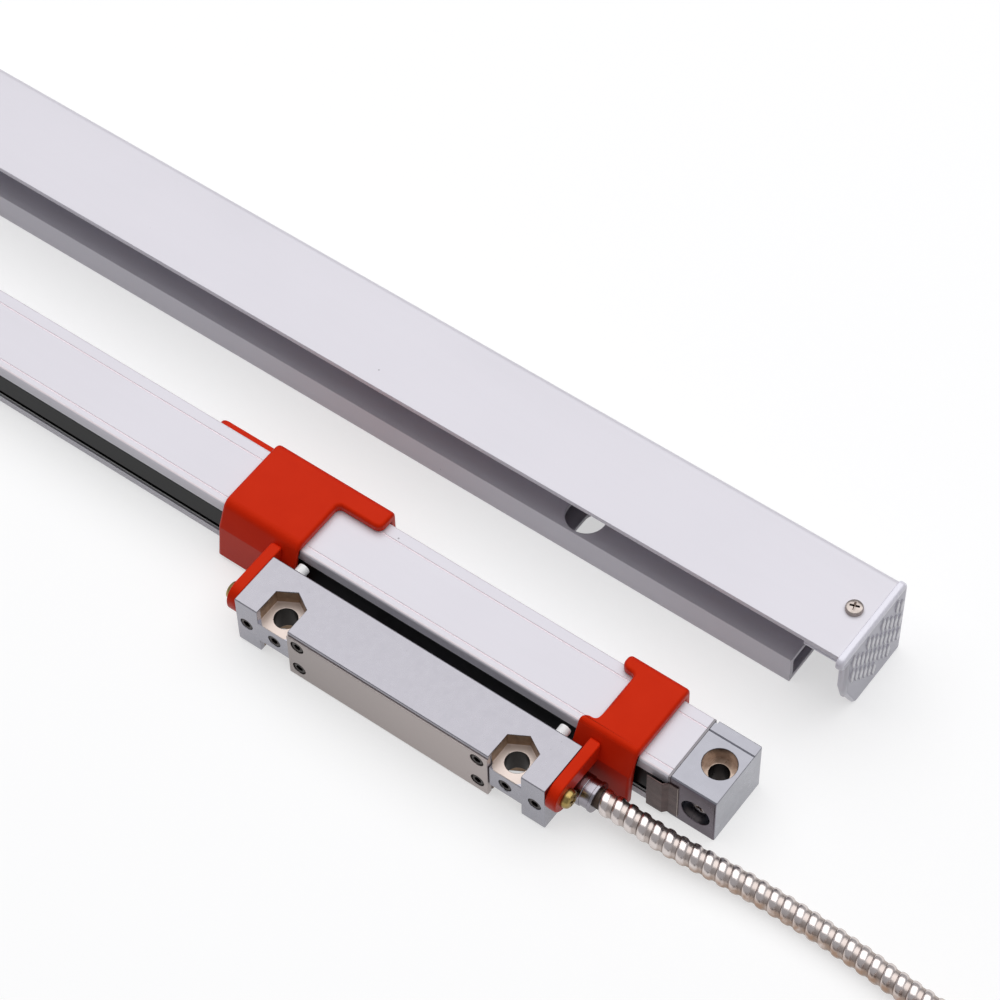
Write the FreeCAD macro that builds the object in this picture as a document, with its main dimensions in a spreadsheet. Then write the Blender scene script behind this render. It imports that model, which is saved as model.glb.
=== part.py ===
"""Sealed linear glass scale with reading head, transport brackets, armoured cable and mounting rail.

Frame: +X along the scale towards its right end, +Y away from the reading head, +Z up.
The origin is the right mounting hole's centre on the mounting face. Lengths are in millimetres.
"""
import FreeCAD, Part
import Sketcher
import math
import os

from FreeCAD import Placement, Rotation, Vector
from types import SimpleNamespace

doc = FreeCAD.newDocument("linear_glass_scale")

# Driving dimensions
SIZES = {
    "scale_length": 392.0,
    "scale_width": 21.0,
    "scale_height": 18.0,
    "block_length": 14.0,
    "hole_edge": 6.0,
    "mount_hole": 5.5,
    "mount_counterbore": 9.3,
    "counterbore_depth": 4.5,
    "gasket_thickness": 0.6,
    "housing_wall": 2.0,
    "back_wall": 2.4,
    "jaw_depth": 2.8,
    "upper_jaw_height": 4.0,
    "lower_jaw_height": 3.0,
    "top_corner": 1.2,
    "edge_radius": 0.5,
    "groove_far_inset": 3.6,
    "groove_near_inset": 2.4,
    "groove_width": 0.5,
    "groove_depth": 0.3,
    "glass_level": 9.1,
    "glass_thickness": 1.7,
    "glass_width": 11.2,
    "glass_end_gap": 12.0,
    "glass_bond": 0.3,
    "rib_reach": 2.5,
    "rib_thickness": 1.0,
    "bead_inset": 0.8,
    "bead_width": 1.0,
    "bead_depth": 1.4,
    "bead_play": 0.1,
    "lip_reach": 1.1,
    "lip_thickness": 0.9,
    "lip_shoulder": 0.6,
    "lip_end_gap": 1.8,
    "lip_clearance": 0.3,
    "clip_thickness": 0.4,
    "clip_play": 0.15,
    "clip_over_block": 2.8,
    "clip_over_lips": 6.0,
    "clip_bend": 0.2,
    "clip_step": 1.4,
    "clip_margin": 1.5,
    "notch": 0.8,
    "recess": 8.6,
    "recess_depth": 4.0,
    "recess_level": 8.0,
    "block_screw": 3.0,
    "block_screw_head": 6.2,
    "block_screw_head_height": 2.0,
    "block_screw_length": 3.0,
    "plug_length": 4.0,
    "plug_clearance": 0.2,
    "head_length": 100.0,
    "head_width": 16.8,
    "head_height": 18.2,
    "head_lift": 0.3,
    "head_gap": 5.5,
    "head_to_block": 23.0,
    "nut_width": 10.2,
    "nut_depth": 5.0,
    "nut_inset": 5.5,
    "head_hole": 6.4,
    "head_hole_spacing": 75.0,
    "plate_margin": 5.0,
    "plate_top_margin": 1.2,
    "plate_thickness": 1.6,
    "plate_proud": 0.5,
    "plate_play": 0.1,
    "plate_gasket": 0.5,
    "plate_gasket_inset": 0.3,
    "plate_screw_inset": 3.4,
    "plate_screw_span_z": 10.0,
    "plate_screw": 2.0,
    "plate_screw_head": 3.8,
    "plate_screw_head_height": 0.8,
    "plate_screw_sink": 1.0,
    "plate_screw_length": 5.0,
    "screw_head_play": 0.4,
    "cavity_inset": 7.5,
    "cavity_height": 11.6,
    "cavity_depth": 9.0,
    "board_thickness": 1.2,
    "board_play": 0.3,
    "board_inset": 1.5,
    "side_screw": 4.0,
    "side_screw_length": 1.9,
    "side_screw_socket": 2.0,
    "side_screw_inset": 3.2,
    "side_screw_level": 9.2,
    "side_screw_sink": 0.2,
    "blade_level": 7.2,
    "blade_thickness": 0.8,
    "blade_length": 44.0,
    "blade_taper": 6.0,
    "blade_seat": 5.0,
    "blade_reach": 1.3,
    "blade_screw": 2.5,
    "blade_screw_head": 4.0,
    "blade_screw_head_height": 2.2,
    "blade_screw_sink": 2.5,
    "blade_screw_length": 8.0,
    "blade_screw_spacing": 24.0,
    "gland": 8.8,
    "gland_waist": 8.2,
    "gland_length": 8.5,
    "gland_collar": 5.0,
    "gland_rim": 1.0,
    "gland_spigot": 6.0,
    "gland_spigot_length": 6.0,
    "gland_level": 7.6,
    "gland_inset": 11.9,
    "cable": 7.0,
    "cable_core": 4.4,
    "core_clearance": 0.3,
    "bracket_clearance": 0.3,
    "bracket_roof": 2.6,
    "bracket_wall": 2.2,
    "bracket_near_wall": 2.4,
    "near_wall_reach": 2.8,
    "crease_reach": 3.9,
    "foot_reach": 5.1,
    "crease_level": 13.0,
    "wall_foot_level": 1.2,
    "far_wall_level": 6.0,
    "bracket_corner": 2.0,
    "bracket_bend": 0.8,
    "left_bracket_length": 25.6,
    "left_bracket_overlap": 4.6,
    "left_tongue_reach": 14.0,
    "left_tongue_width": 7.0,
    "left_tab_reach": 20.5,
    "left_tab_height": 16.3,
    "right_strap_length": 14.2,
    "right_strap_overlap": 0.8,
    "far_lobe_reach": 4.6,
    "near_lobe_reach": 4.0,
    "far_lobe_width": 4.8,
    "near_lobe_width": 4.5,
    "arm_thickness": 3.4,
    "arm_foot_level": 2.6,
    "arm_top_level": 18.5,
    "left_arm_inset": 0.3,
    "right_arm_overhang": 0.4,
    "arm_bevel": 2.0,
    "gland_notch_height": 12.6,
    "gland_notch_width": 11.4,
    "bracket_screw_inset": 4.7,
    "bracket_screw_level": 13.0,
    "bracket_screw": 3.0,
    "bracket_screw_length": 6.0,
    "bracket_screw_head": 5.6,
    "bracket_screw_head_height": 2.2,
    "align_pad": 3.4,
    "align_pad_stem": 2.0,
    "align_pad_stem_length": 1.5,
    "align_pad_reach": 3.0,
    "align_pad_inset": 7.6,
    "align_pad_level": 15.6,
    "carriage_length": 48.0,
    "carriage_web": 1.1,
    "carriage_inset": 1.5,
    "carriage_foot": 4.0,
    "carriage_top": 13.0,
    "carriage_shelf": 1.6,
    "carriage_shelf_reach": 13.0,
    "carriage_roof": 0.8,
    "bearing": 4.0,
    "bearing_width": 2.0,
    "bearing_ring": 0.35,
    "bearing_shield_sink": 0.2,
    "bearing_pin": 1.2,
    "bearing_play": 0.05,
    "bearing_boss": 2.0,
    "bearing_shoulder": 0.1,
    "pin_seat": 0.9,
    "pin_washer": 0.4,
    "face_bearing_spacing": 41.0,
    "edge_bearing_spacing": 31.0,
    "face_bearing_inset": 1.4,
    "middle_bearing_inset": 6.2,
    "optics_offset": 7.5,
    "optics_length": 9.0,
    "optics_depth": 12.0,
    "optics_gap": 0.3,
    "reticle_inset": 0.5,
    "reticle_thickness": 0.8,
    "sensor_board_thickness": 0.7,
    "light_board_thickness": 0.8,
    "led": 3.0,
    "led_height": 1.8,
    "wire": 0.8,
    "wire_length": 16.0,
    "wire_level": 9.6,
    "wire_gap": 0.1,
    "cover_overhang": 4.6,
    "cover_height": 30.2,
    "cover_depth": 29.4,
    "cover_roof": 1.6,
    "cover_back": 2.0,
    "cover_gap": 47.7,
    "cover_corner": 2.0,
    "foot_height": 10.0,
    "foot_depth": 25.9,
    "foot_wall": 1.6,
    "foot_setback": 15.5,
    "slot_inset": 85.6,
    "slot_width": 11.6,
    "slot_length": 16.0,
    "slot_edge": 0.9,
    "bolt_slot_width": 6.6,
    "bolt_slot_length": 11.0,
    "cap_thickness": 2.2,
    "cap_rim": 0.4,
    "cap_lip_reach": 1.6,
    "cap_lip_height": 4.6,
    "cap_setback": 2.0,
    "cap_slope_height": 12.0,
    "cap_slope_depth": 5.7,
    "cap_corner": 2.0,
    "cap_rib_depth": 1.2,
    "cap_rib_width": 1.6,
    "cap_rib_inset": 1.0,
    "cap_rib_slope": 2.4,
    "cap_rib_level": 4.0,
    "tongue_length": 9.0,
    "tongue_thickness": 3.0,
    "tongue_width": 22.0,
    "cap_screw_inset": 4.8,
    "cap_screw": 3.0,
    "cap_screw_head": 5.0,
    "cap_screw_head_height": 1.6,
    "coil_outer": 95.0,
    "coil_inner": 53.0,
    "coil_height": 28.0,
    "coil_edge": 3.0,
    "tie_thickness": 0.8,
    "tie_width": 5.0,
    "tie_play": 0.3,
    "hood_length": 40.0,
    "hood_neck": 18.0,
    "hood_width": 33.0,
    "hood_height": 15.0,
    "hood_ear": 8.0,
    "hood_taper": 6.0,
    "hood_mouth": 10.0,
    "hood_corner": 1.5,
    "flange_width": 30.8,
    "flange_height": 12.5,
    "flange_thickness": 1.0,
    "shell_width": 16.9,
    "shell_height": 8.4,
    "shell_depth": 5.9,
    "shell_taper": 1.4,
    "thumbscrew_spacing": 25.0,
    "thumbscrew": 3.0,
    "thumbscrew_knob": 5.4,
    "thumbscrew_knob_length": 13.0,
    "thumbscrew_tip": 5.0,
    "thumbscrew_play": 0.2,
}

sheet = doc.addObject("Spreadsheet::Sheet", "sizes")
for row, (alias, number) in enumerate(SIZES.items(), start=1):
    sheet.set(f"A{row}", alias)
    sheet.set(f"B{row}", str(number))
    sheet.setAlias(f"B{row}", alias)
doc.recompute()


class Size:
    """A length known both as a formula on the sheet and as a number."""

    def __init__(self, formula, number):
        self.formula = formula
        self.number = float(number)

    def combined(self, sign, other, number):
        return Size(f"({self.formula} {sign} {other.formula})", number)

    def __add__(self, other):
        other = as_size(other)
        return self.combined("+", other, self.number + other.number)

    def __radd__(self, other):
        return as_size(other) + self

    def __sub__(self, other):
        other = as_size(other)
        return self.combined("-", other, self.number - other.number)

    def __rsub__(self, other):
        return as_size(other) - self

    def __mul__(self, other):
        other = as_size(other)
        return self.combined("*", other, self.number * other.number)

    def __rmul__(self, other):
        return as_size(other) * self

    def __truediv__(self, other):
        other = as_size(other)
        return self.combined("/", other, self.number / other.number)

    def __neg__(self):
        return as_size(0) - self


def as_size(value):
    return value if isinstance(value, Size) else Size(f"({value})", value)


size = SimpleNamespace(**{alias: Size("sizes." + alias, number) for alias, number in SIZES.items()})

# Places along the scale
mount_spacing = size.scale_length - 2 * size.hole_edge
block_inner = size.hole_edge - size.block_length
housing_right = block_inner - size.gasket_thickness
housing_left = -mount_spacing - housing_right
head_right = block_inner - size.head_to_block
head_left = head_right - size.head_length
head_middle = head_right - size.head_length / 2
left_bracket_right = head_left + size.left_bracket_overlap
left_bracket_left = left_bracket_right - size.left_bracket_length
right_strap_left = head_right - size.right_strap_overlap
right_strap_right = right_strap_left + size.right_strap_length
cover_right = size.hole_edge + size.cover_overhang
cover_left = -mount_spacing - cover_right

# Places across the scale
near_face = -size.scale_width / 2
far_face = size.scale_width / 2
jaw_inner = near_face + size.jaw_depth
back_inner = far_face - size.back_wall
rib_tip = back_inner - size.rib_reach
glass_far = back_inner - size.glass_bond
glass_near = glass_far - size.glass_width
bead_near = near_face + size.bead_inset
bead_far = bead_near + size.bead_width
lip_tip = near_face - size.lip_reach
recess_seat = near_face + size.recess_depth
head_far = near_face - size.head_gap
head_near = head_far - size.head_width
nut_row = head_near + size.nut_inset
plate_near = head_near - size.plate_proud
plate_far = plate_near + size.plate_thickness
plate_seat = plate_far + size.plate_gasket
cavity_far = plate_seat + size.cavity_depth
blade_row = head_far - size.blade_seat / 2
gland_row = head_near + size.gland_inset
bracket_far_inner = far_face + size.bracket_clearance
bracket_far_outer = bracket_far_inner + size.bracket_wall
bracket_near = near_face - size.near_wall_reach
bracket_screw_row = head_near + size.bracket_screw_inset
cover_near = near_face + size.cover_gap
cover_far = cover_near + size.cover_depth
foot_near = cover_far - size.foot_depth

# Levels
roof_inner = size.scale_height - size.housing_wall
upper_jaw = size.scale_height - size.upper_jaw_height
glass_top = size.glass_level + size.glass_thickness
glass_middle = size.glass_level + size.glass_thickness / 2
groove_bottom = size.glass_level - size.glass_bond
groove_top = glass_top + size.glass_bond
blade_top = size.blade_level + size.blade_thickness
head_floor = size.head_lift
head_top = head_floor + size.head_height
head_centre = head_floor + size.head_height / 2
blade_screw_seat = head_floor + size.blade_screw_sink
bracket_under = size.scale_height + size.bracket_clearance
bracket_top = bracket_under + size.bracket_roof

pieces = []
PLANES = {"x": "YZ_Plane", "y": "XZ_Plane", "z": "XY_Plane"}
AXES = {"x": Vector(1, 0, 0), "y": Vector(0, 1, 0), "z": Vector(0, 0, 1)}
AXES.update({"-" + name: -direction for name, direction in AXES.items()})
SIDES = ("right", "left")


def bind(thing, prop, value):
    """Bind a property of an object to a size."""
    thing.setExpression(prop, as_size(value).formula)


def move(thing, place):
    for axis, value in zip("xyz", place):
        bind(thing, "Placement.Base." + axis, value)


def keep(thing, name):
    """Name a finished sub-part."""
    thing.Label = name
    pieces.append(thing)
    return thing


def new_body(name):
    return keep(doc.addObject("PartDesign::Body", name), name)


def spot(u, v):
    return Vector(as_size(u).number, as_size(v).number, 0)


def hold(sketch, kind, item, value):
    """A dimension of a sketch bound to a size."""
    index = sketch.addConstraint(Sketcher.Constraint(kind, item, as_size(value).number))
    bind(sketch, f"Constraints[{index}]", value)


def hold_point(sketch, item, point, u, v):
    """Hold a point of a sketch by its two coordinates."""
    for kind, value in (("DistanceX", u), ("DistanceY", v)):
        index = sketch.addConstraint(Sketcher.Constraint(kind, -1, 1, item, point, as_size(value).number))
        bind(sketch, f"Constraints[{index}]", value)


def polygon(sketch, corners):
    """A closed outline of straight lines."""
    first = sketch.GeometryCount
    spots = [spot(u, v) for u, v in corners]
    count = len(spots)
    for i in range(count):
        sketch.addGeometry(Part.LineSegment(spots[i], spots[(i + 1) % count]))
    for i in range(count):
        sketch.addConstraint(Sketcher.Constraint("Coincident", first + i, 2, first + (i + 1) % count, 1))
    for i, (u, v) in enumerate(corners):
        hold_point(sketch, first + i, 1, u, v)


def circle(sketch, u, v, diameter):
    """A round outline held by its centre and diameter."""
    item = sketch.addGeometry(Part.Circle(spot(u, v), Vector(0, 0, 1), as_size(diameter).number / 2))
    hold_point(sketch, item, 3, u, v)
    hold(sketch, "Diameter", item, diameter)


def obround(sketch, u, low, high, width):
    """A slot outline along the sketch's second direction, from low to high."""
    radius = width / 2
    low_spot = spot(u, low + radius)
    high_spot = spot(u, high - radius)
    reach = Vector(radius.number, 0, 0)
    up = Vector(0, 0, 1)
    first = sketch.GeometryCount
    sketch.addGeometry(Part.ArcOfCircle(Part.Circle(low_spot, up, radius.number), math.pi, 2 * math.pi))
    sketch.addGeometry(Part.LineSegment(low_spot + reach, high_spot + reach))
    sketch.addGeometry(Part.ArcOfCircle(Part.Circle(high_spot, up, radius.number), 0, math.pi))
    sketch.addGeometry(Part.LineSegment(high_spot - reach, low_spot - reach))
    for i in range(4):
        sketch.addConstraint(Sketcher.Constraint("Tangent", first + i, 2, first + (i + 1) % 4, 1))
    sketch.addConstraint(Sketcher.Constraint("Equal", first, first + 2))
    hold_point(sketch, first, 3, u, low + radius)
    hold_point(sketch, first + 2, 3, u, high - radius)
    hold(sketch, "Radius", first, radius)


ROUND_OUTLINES = {3: circle, 4: obround}


def draw(body, axis, place, outlines):
    """A sketch square to an axis. An outline is a list of corners, or a circle's or a slot's sizes."""
    sketch = body.newObject("Sketcher::SketchObject", body.Name + "_sketch")
    plane = [item for item in body.Origin.OriginFeatures if item.Role == PLANES[axis]]
    sketch.AttachmentSupport = [(plane[0], "")]
    sketch.MapMode = "FlatFace"
    place = as_size(place)
    bind(sketch, "AttachmentOffset.Base.z", -place if axis == "y" else place)
    for outline in outlines:
        if isinstance(outline, tuple):
            ROUND_OUTLINES[len(outline)](sketch, *outline)
        else:
            polygon(sketch, outline)
    return sketch


def extrude(body, kind, axis, start, end, outlines):
    """Pad or pocket outlines between two places along an axis."""
    sketch = draw(body, axis, end if axis == "y" else start, outlines)
    feature = body.newObject("PartDesign::" + kind, body.Name + "_" + kind.lower())
    feature.Profile = sketch
    bind(feature, "Length", as_size(end) - start)
    feature.Reversed = kind == "Pocket"
    body.Tip = feature


def add(body, axis, start, end, *outlines):
    extrude(body, "Pad", axis, start, end, outlines)


def cut(body, axis, start, end, *outlines):
    """Cut outlines out of the body between two places, and check that something went."""
    doc.recompute()
    before = body.Shape.Volume
    extrude(body, "Pocket", axis, start, end, outlines)
    doc.recompute()
    if body.Shape.Volume > before - 0.01:
        raise ValueError(body.Label + " isn't cut")


def edges_along(shape, axis, places):
    """Names of the straight edges along an axis that pass through one of the places."""
    along = "xyz".index(axis)
    others = [i for i in range(3) if i != along]
    names = []
    for index, edge in enumerate(shape.Edges, start=1):
        ends = [vertex.Point for vertex in edge.Vertexes]
        if not isinstance(edge.Curve, Part.Line) or abs(ends[0][along] - ends[-1][along]) < 0.01:
            continue
        for place in places:
            if all(abs(end[i] - value) < 0.01 for end in ends for i, value in zip(others, place)):
                names.append(f"Edge{index}")
    return names


def dress(body, kind, amount, names):
    """Round or bevel named edges of the body's last feature."""
    if not names:
        raise ValueError(body.Label + " has no such edge")
    base = body.Tip
    feature = body.newObject("PartDesign::" + kind, body.Name + "_" + kind.lower())
    feature.Base = (base, names)
    bind(feature, "Radius" if kind == "Fillet" else "Size", amount)
    body.Tip = feature


def soften(body, kind, axis, amount, *places):
    """Round or bevel the straight edges that run along an axis through the places."""
    doc.recompute()
    numbers = [(as_size(u).number, as_size(v).number) for u, v in places]
    dress(body, kind, amount, edges_along(body.Tip.Shape, axis, numbers))


def box(u0, u1, v0, v1):
    """Corners of a rectangle."""
    return [(u0, v0), (u1, v0), (u1, v1), (u0, v1)]


def rod(name, axis, start, diameter, length):
    """A round bar that starts at a place and runs along an axis."""
    bar = doc.addObject("Part::Cylinder", name)
    bar.Placement = Placement(Vector(), Rotation(AXES["z"], AXES[axis]))
    bind(bar, "Radius", diameter / 2)
    bind(bar, "Height", length)
    move(bar, start)
    return bar


def ball(name, centre, diameter):
    sphere = doc.addObject("Part::Sphere", name)
    bind(sphere, "Radius", diameter / 2)
    move(sphere, centre)
    return sphere


def join(name, parts):
    fused = doc.addObject("Part::MultiFuse", name)
    fused.Shapes = parts
    return fused


def cut_out(name, base, tool):
    rest = doc.addObject("Part::Cut", name)
    rest.Base = base
    rest.Tool = tool
    return rest


def group(name, parts):
    """Separate solids of like parts in one node."""
    together = doc.addObject("Part::Compound", name)
    together.Links = parts
    keep(together, name)


def screw(name, axis, seat, head, head_height, shank, length):
    """A screw whose head stands on its seat and whose shank runs along the axis from there."""
    back = axis[1:] if axis.startswith("-") else "-" + axis
    cap = rod(name + "_head", back, seat, head, head_height)
    stem = rod(name + "_stem", axis, seat, shank, length)
    return join(name, [cap, stem])


def at_end(side, place):
    """A place measured at the right end, or its mirror image at the left end."""
    return as_size(place) if side == "right" else -mount_spacing - place


def span(side, start, end):
    return (start, end) if side == "right" else (at_end(side, end), at_end(side, start))


# Scale housing: a hollow extrusion, open between its jaws along the near side
def top_groove(centre):
    """A shallow V line along the top face, from far to near."""
    half = size.groove_width / 2
    top = size.scale_height
    return [(centre + half, top), (centre, top - size.groove_depth), (centre - half, top)]


TOP_GROOVES = top_groove(far_face - size.groove_far_inset) + top_groove(near_face + size.groove_near_inset)


def bead_groove(jaw, inward):
    """The groove that holds a lip's bead, from near to far."""
    depth = inward * size.bead_depth
    return [(bead_near, jaw), (bead_near, jaw + depth), (bead_far, jaw + depth), (bead_far, jaw)]


def scale_housing():
    rib = size.rib_thickness
    body = new_body("scale_housing")
    add(body, "x", housing_left, housing_right, [
        (near_face, 0), (far_face, 0), (far_face, size.scale_height), *TOP_GROOVES,
        (near_face, size.scale_height), (near_face, upper_jaw), *bead_groove(upper_jaw, 1),
        (jaw_inner, upper_jaw), (jaw_inner, roof_inner), (back_inner, roof_inner),
        (back_inner, groove_top + rib), (rib_tip, groove_top + rib), (rib_tip, groove_top),
        (back_inner, groove_top), (back_inner, groove_bottom), (rib_tip, groove_bottom),
        (rib_tip, groove_bottom - rib), (back_inner, groove_bottom - rib),
        (back_inner, size.housing_wall), (jaw_inner, size.housing_wall), (jaw_inner, size.lower_jaw_height),
        *reversed(bead_groove(size.lower_jaw_height, -1)), (near_face, size.lower_jaw_height)])
    soften(body, "Fillet", "x", size.top_corner, (near_face, size.scale_height))
    soften(body, "Fillet", "x", size.edge_radius,
           (far_face, size.scale_height), (near_face, 0), (far_face, 0))


def glass_and_bond():
    """Glass strip, and the elastic strip that bonds it in the groove of the back wall."""
    left = housing_left + size.glass_end_gap
    right = housing_right - size.glass_end_gap
    glass = new_body("glass_scale")
    add(glass, "x", left, right, box(glass_near, glass_far, size.glass_level, glass_top))
    bond = new_body("glass_bond_strip")
    add(bond, "x", left, right, [
        (rib_tip, groove_bottom), (back_inner, groove_bottom),
        (back_inner, groove_top), (rib_tip, groove_top),
        (rib_tip, glass_top), (glass_far, glass_top),
        (glass_far, size.glass_level), (rib_tip, size.glass_level)])


def lip_seal(name, jaw, inward, slit):
    """A bead in the jaw's groove and a thin lip that slopes out to the slit."""
    left = housing_left + size.lip_end_gap
    right = housing_right - size.lip_end_gap
    root = jaw - inward * size.bead_play
    shoulder = jaw - inward * size.lip_shoulder
    crest = jaw + inward * (size.bead_depth - size.bead_play)
    body = new_body(name)
    add(body, "x", left, right, [
        (bead_near, crest), (bead_far, crest), (bead_far, root), (bead_near + 2 * size.bead_play, shoulder),
        (lip_tip + size.lip_thickness, slit), (lip_tip, slit), (near_face + size.bead_play, shoulder),
        (bead_near, root)])


# End blocks: bright solid ends with the mounting hole, each plugged into the housing
def plug_outline():
    play = size.plug_clearance
    return box(jaw_inner + play, back_inner - play, size.housing_wall + play,
               groove_bottom - size.rib_thickness - play)


def end_block(side):
    hole = at_end(side, 0)
    outer = at_end(side, size.hole_edge)
    top = size.scale_height
    body = new_body(side + "_end_block")
    add(body, "x", *span(side, block_inner, size.hole_edge),
        [(near_face, 0), (far_face, 0), (far_face, top), *TOP_GROOVES, (near_face, top)])
    soften(body, "Chamfer", "x", size.top_corner, (near_face, top))
    soften(body, "Fillet", "z", size.edge_radius, (outer, near_face), (outer, far_face))
    add(body, "x", *span(side, housing_right - size.plug_length, block_inner), plug_outline())
    cut(body, "z", 0, top, (hole, 0, size.mount_hole))
    cut(body, "z", top - size.counterbore_depth, top, (hole, 0, size.mount_counterbore))
    cut(body, "y", near_face, recess_seat, (hole, size.recess_level, size.recess))
    cut(body, "y", recess_seat, recess_seat + size.block_screw_length,
        (hole, size.recess_level, size.block_screw))
    cut(body, "z", 0, top,
        box(*span(side, block_inner, block_inner + size.notch), far_face - size.notch, far_face))


def end_gasket(side):
    margin = size.plug_clearance
    body = new_body(side + "_end_gasket")
    add(body, "x", *span(side, housing_right, block_inner),
        box(near_face + margin, far_face - margin, margin, size.scale_height - size.groove_depth - margin),
        plug_outline())


def lip_clip(side):
    """Folded nickel sheet over the ends of the lips and the edge of the block."""
    edge = block_inner + size.clip_over_block
    bend = block_inner - size.clip_bend
    step = block_inner - size.clip_step
    tail = block_inner - size.clip_over_lips
    over = lip_tip - size.clip_play
    corners = [
        (edge, near_face), (bend, near_face), (step, over), (tail, over), (tail, over - size.clip_thickness),
        (step + size.clip_bend, over - size.clip_thickness),
        (bend + size.clip_bend, near_face - size.clip_thickness), (edge, near_face - size.clip_thickness)]
    body = new_body(side + "_lip_clip")
    add(body, "z", size.clip_margin, size.scale_height - size.clip_margin - size.top_corner,
        [(at_end(side, x), y) for x, y in corners])


def block_screws():
    group("block_screws", [
        screw(f"block_screw_{side}", "y", (at_end(side, 0), recess_seat, size.recess_level),
              size.block_screw_head, size.block_screw_head_height, size.block_screw, size.block_screw_length)
        for side in SIDES])


# Reading head: a bright block with a nut pocket above and below each bolt hole
bolts = [head_middle + sign * size.head_hole_spacing / 2 for sign in (-1, 1)]
side_screw_places = [head_left + size.side_screw_inset, *bolts, head_right - size.side_screw_inset]
blade_screw_places = [head_middle + sign * size.blade_screw_spacing / 2 for sign in (-1, 1)]
align_pad_places = [head_left + size.align_pad_inset, head_right - size.align_pad_inset]
plate_left = bolts[0] + size.plate_margin
plate_right = bolts[1] - size.plate_margin
plate_top = head_top - size.plate_top_margin
plate_screw_places = [(x, head_centre + v * size.plate_screw_span_z / 2)
                      for x in (plate_left + size.plate_screw_inset, plate_right - size.plate_screw_inset)
                      for v in (-1, 1)]
cavity_left = plate_left + size.cavity_inset
cavity_right = plate_right - size.cavity_inset
spigot_end = head_right - size.gland_spigot_length


def cavity_outline():
    """The cavity for the circuit board, as seen from the near side."""
    return box(cavity_left, cavity_right, head_centre - size.cavity_height / 2,
               head_centre + size.cavity_height / 2)


def nut_outline(x):
    """A hexagon with a corner away from the near face, open towards that face."""
    half = size.nut_width / 2
    corner = size.nut_width / math.sqrt(3)
    return [(x - half, head_near), (x + half, head_near), (x + half, nut_row + corner / 2),
            (x, nut_row + corner), (x - half, nut_row + corner / 2)]


def blade_outline():
    """The blade as seen from the near side: thin at both ends so that it parts the lips gently."""
    half = size.blade_length / 2
    flat = half - size.blade_taper
    middle = size.blade_level + size.blade_thickness / 2
    return [(head_middle - half, middle), (head_middle - flat, size.blade_level),
            (head_middle + flat, size.blade_level), (head_middle + half, middle),
            (head_middle + flat, blade_top), (head_middle - flat, blade_top)]


def head_body():
    body = new_body("head_body")
    add(body, "x", head_left, head_right, box(head_near, head_far, head_floor, head_top))
    soften(body, "Fillet", "x", size.edge_radius, (head_near, head_top), (head_far, head_top),
           (head_near, head_floor), (head_far, head_floor))
    cut(body, "y", head_near, plate_seat, box(plate_left, plate_right, head_floor, plate_top))
    cut(body, "y", plate_seat, cavity_far, cavity_outline())
    for x in bolts:
        cut(body, "z", head_floor, head_top, (x, nut_row, size.head_hole))
        cut(body, "z", head_top - size.nut_depth, head_top, nut_outline(x))
        cut(body, "z", head_floor, head_floor + size.nut_depth, nut_outline(x))
    cut(body, "y", head_near, head_near + size.side_screw_sink + size.side_screw_length,
        *[(x, size.side_screw_level, size.side_screw) for x in side_screw_places])
    cut(body, "y", plate_seat, plate_near + size.plate_screw_sink + size.plate_screw_length,
        *[(x, z, size.plate_screw) for x, z in plate_screw_places])
    cut(body, "y", head_far - size.blade_seat, head_far, blade_outline())
    cut(body, "z", head_floor, blade_screw_seat,
        *[(x, blade_row, size.blade_screw_head + size.screw_head_play) for x in blade_screw_places])
    cut(body, "z", blade_screw_seat, blade_screw_seat + size.blade_screw_length,
        *[(x, blade_row, size.blade_screw) for x in blade_screw_places])
    cut(body, "x", spigot_end, head_right, (gland_row, size.gland_level, size.gland_spigot))
    cut(body, "x", cavity_right - size.board_inset, spigot_end,
        (gland_row, size.gland_level, size.cable_core + size.core_clearance))
    for start in (head_left, head_right - size.bracket_screw_length):
        cut(body, "x", start, start + size.bracket_screw_length,
            (bracket_screw_row, size.bracket_screw_level, size.bracket_screw))
    cut(body, "y", head_far - size.align_pad_stem_length, head_far,
        *[(x, size.align_pad_level, size.align_pad_stem) for x in align_pad_places])


def front_plate():
    screw_holes = [(x, z, size.plate_screw) for x, z in plate_screw_places]
    inset = size.plate_gasket_inset
    gasket = new_body("front_plate_gasket")
    add(gasket, "y", plate_far, plate_seat,
        box(plate_left + inset, plate_right - inset, head_floor + inset, plate_top - inset),
        cavity_outline(), *screw_holes)
    play = size.plate_play
    plate = new_body("head_front_plate")
    add(plate, "y", plate_near, plate_far,
        box(plate_left + play, plate_right - play, head_floor + play, plate_top - play), *screw_holes)
    cut(plate, "y", plate_near, plate_near + size.plate_screw_sink,
        *[(x, z, size.plate_screw_head + size.screw_head_play) for x, z in plate_screw_places])
    group("front_plate_screws", [
        screw(f"front_plate_screw_{i}", "y", (x, plate_near + size.plate_screw_sink, z),
              size.plate_screw_head, size.plate_screw_head_height,
              size.plate_screw, size.plate_screw_length)
        for i, (x, z) in enumerate(plate_screw_places)])


def head_side_screws():
    """Grub screws in the near face of the head's two ends, each with a round socket."""
    screws = []
    for i, x in enumerate(side_screw_places):
        start = (x, head_near + size.side_screw_sink, size.side_screw_level)
        stud = rod(f"side_screw_{i}_stud", "y", start, size.side_screw, size.side_screw_length)
        socket = rod(f"side_screw_{i}_socket", "y", start, size.side_screw_socket, size.side_screw_length / 2)
        screws.append(cut_out(f"side_screw_{i}", stud, socket))
    group("head_side_screws", screws)


# Offset from the middle, length, height and depth of what stands on the circuit board
BOARD_PARTS = ((-14, 7, 5, 1.4), (-2, 5, 5, 1.2), (15, 6, 8, 4))


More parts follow.
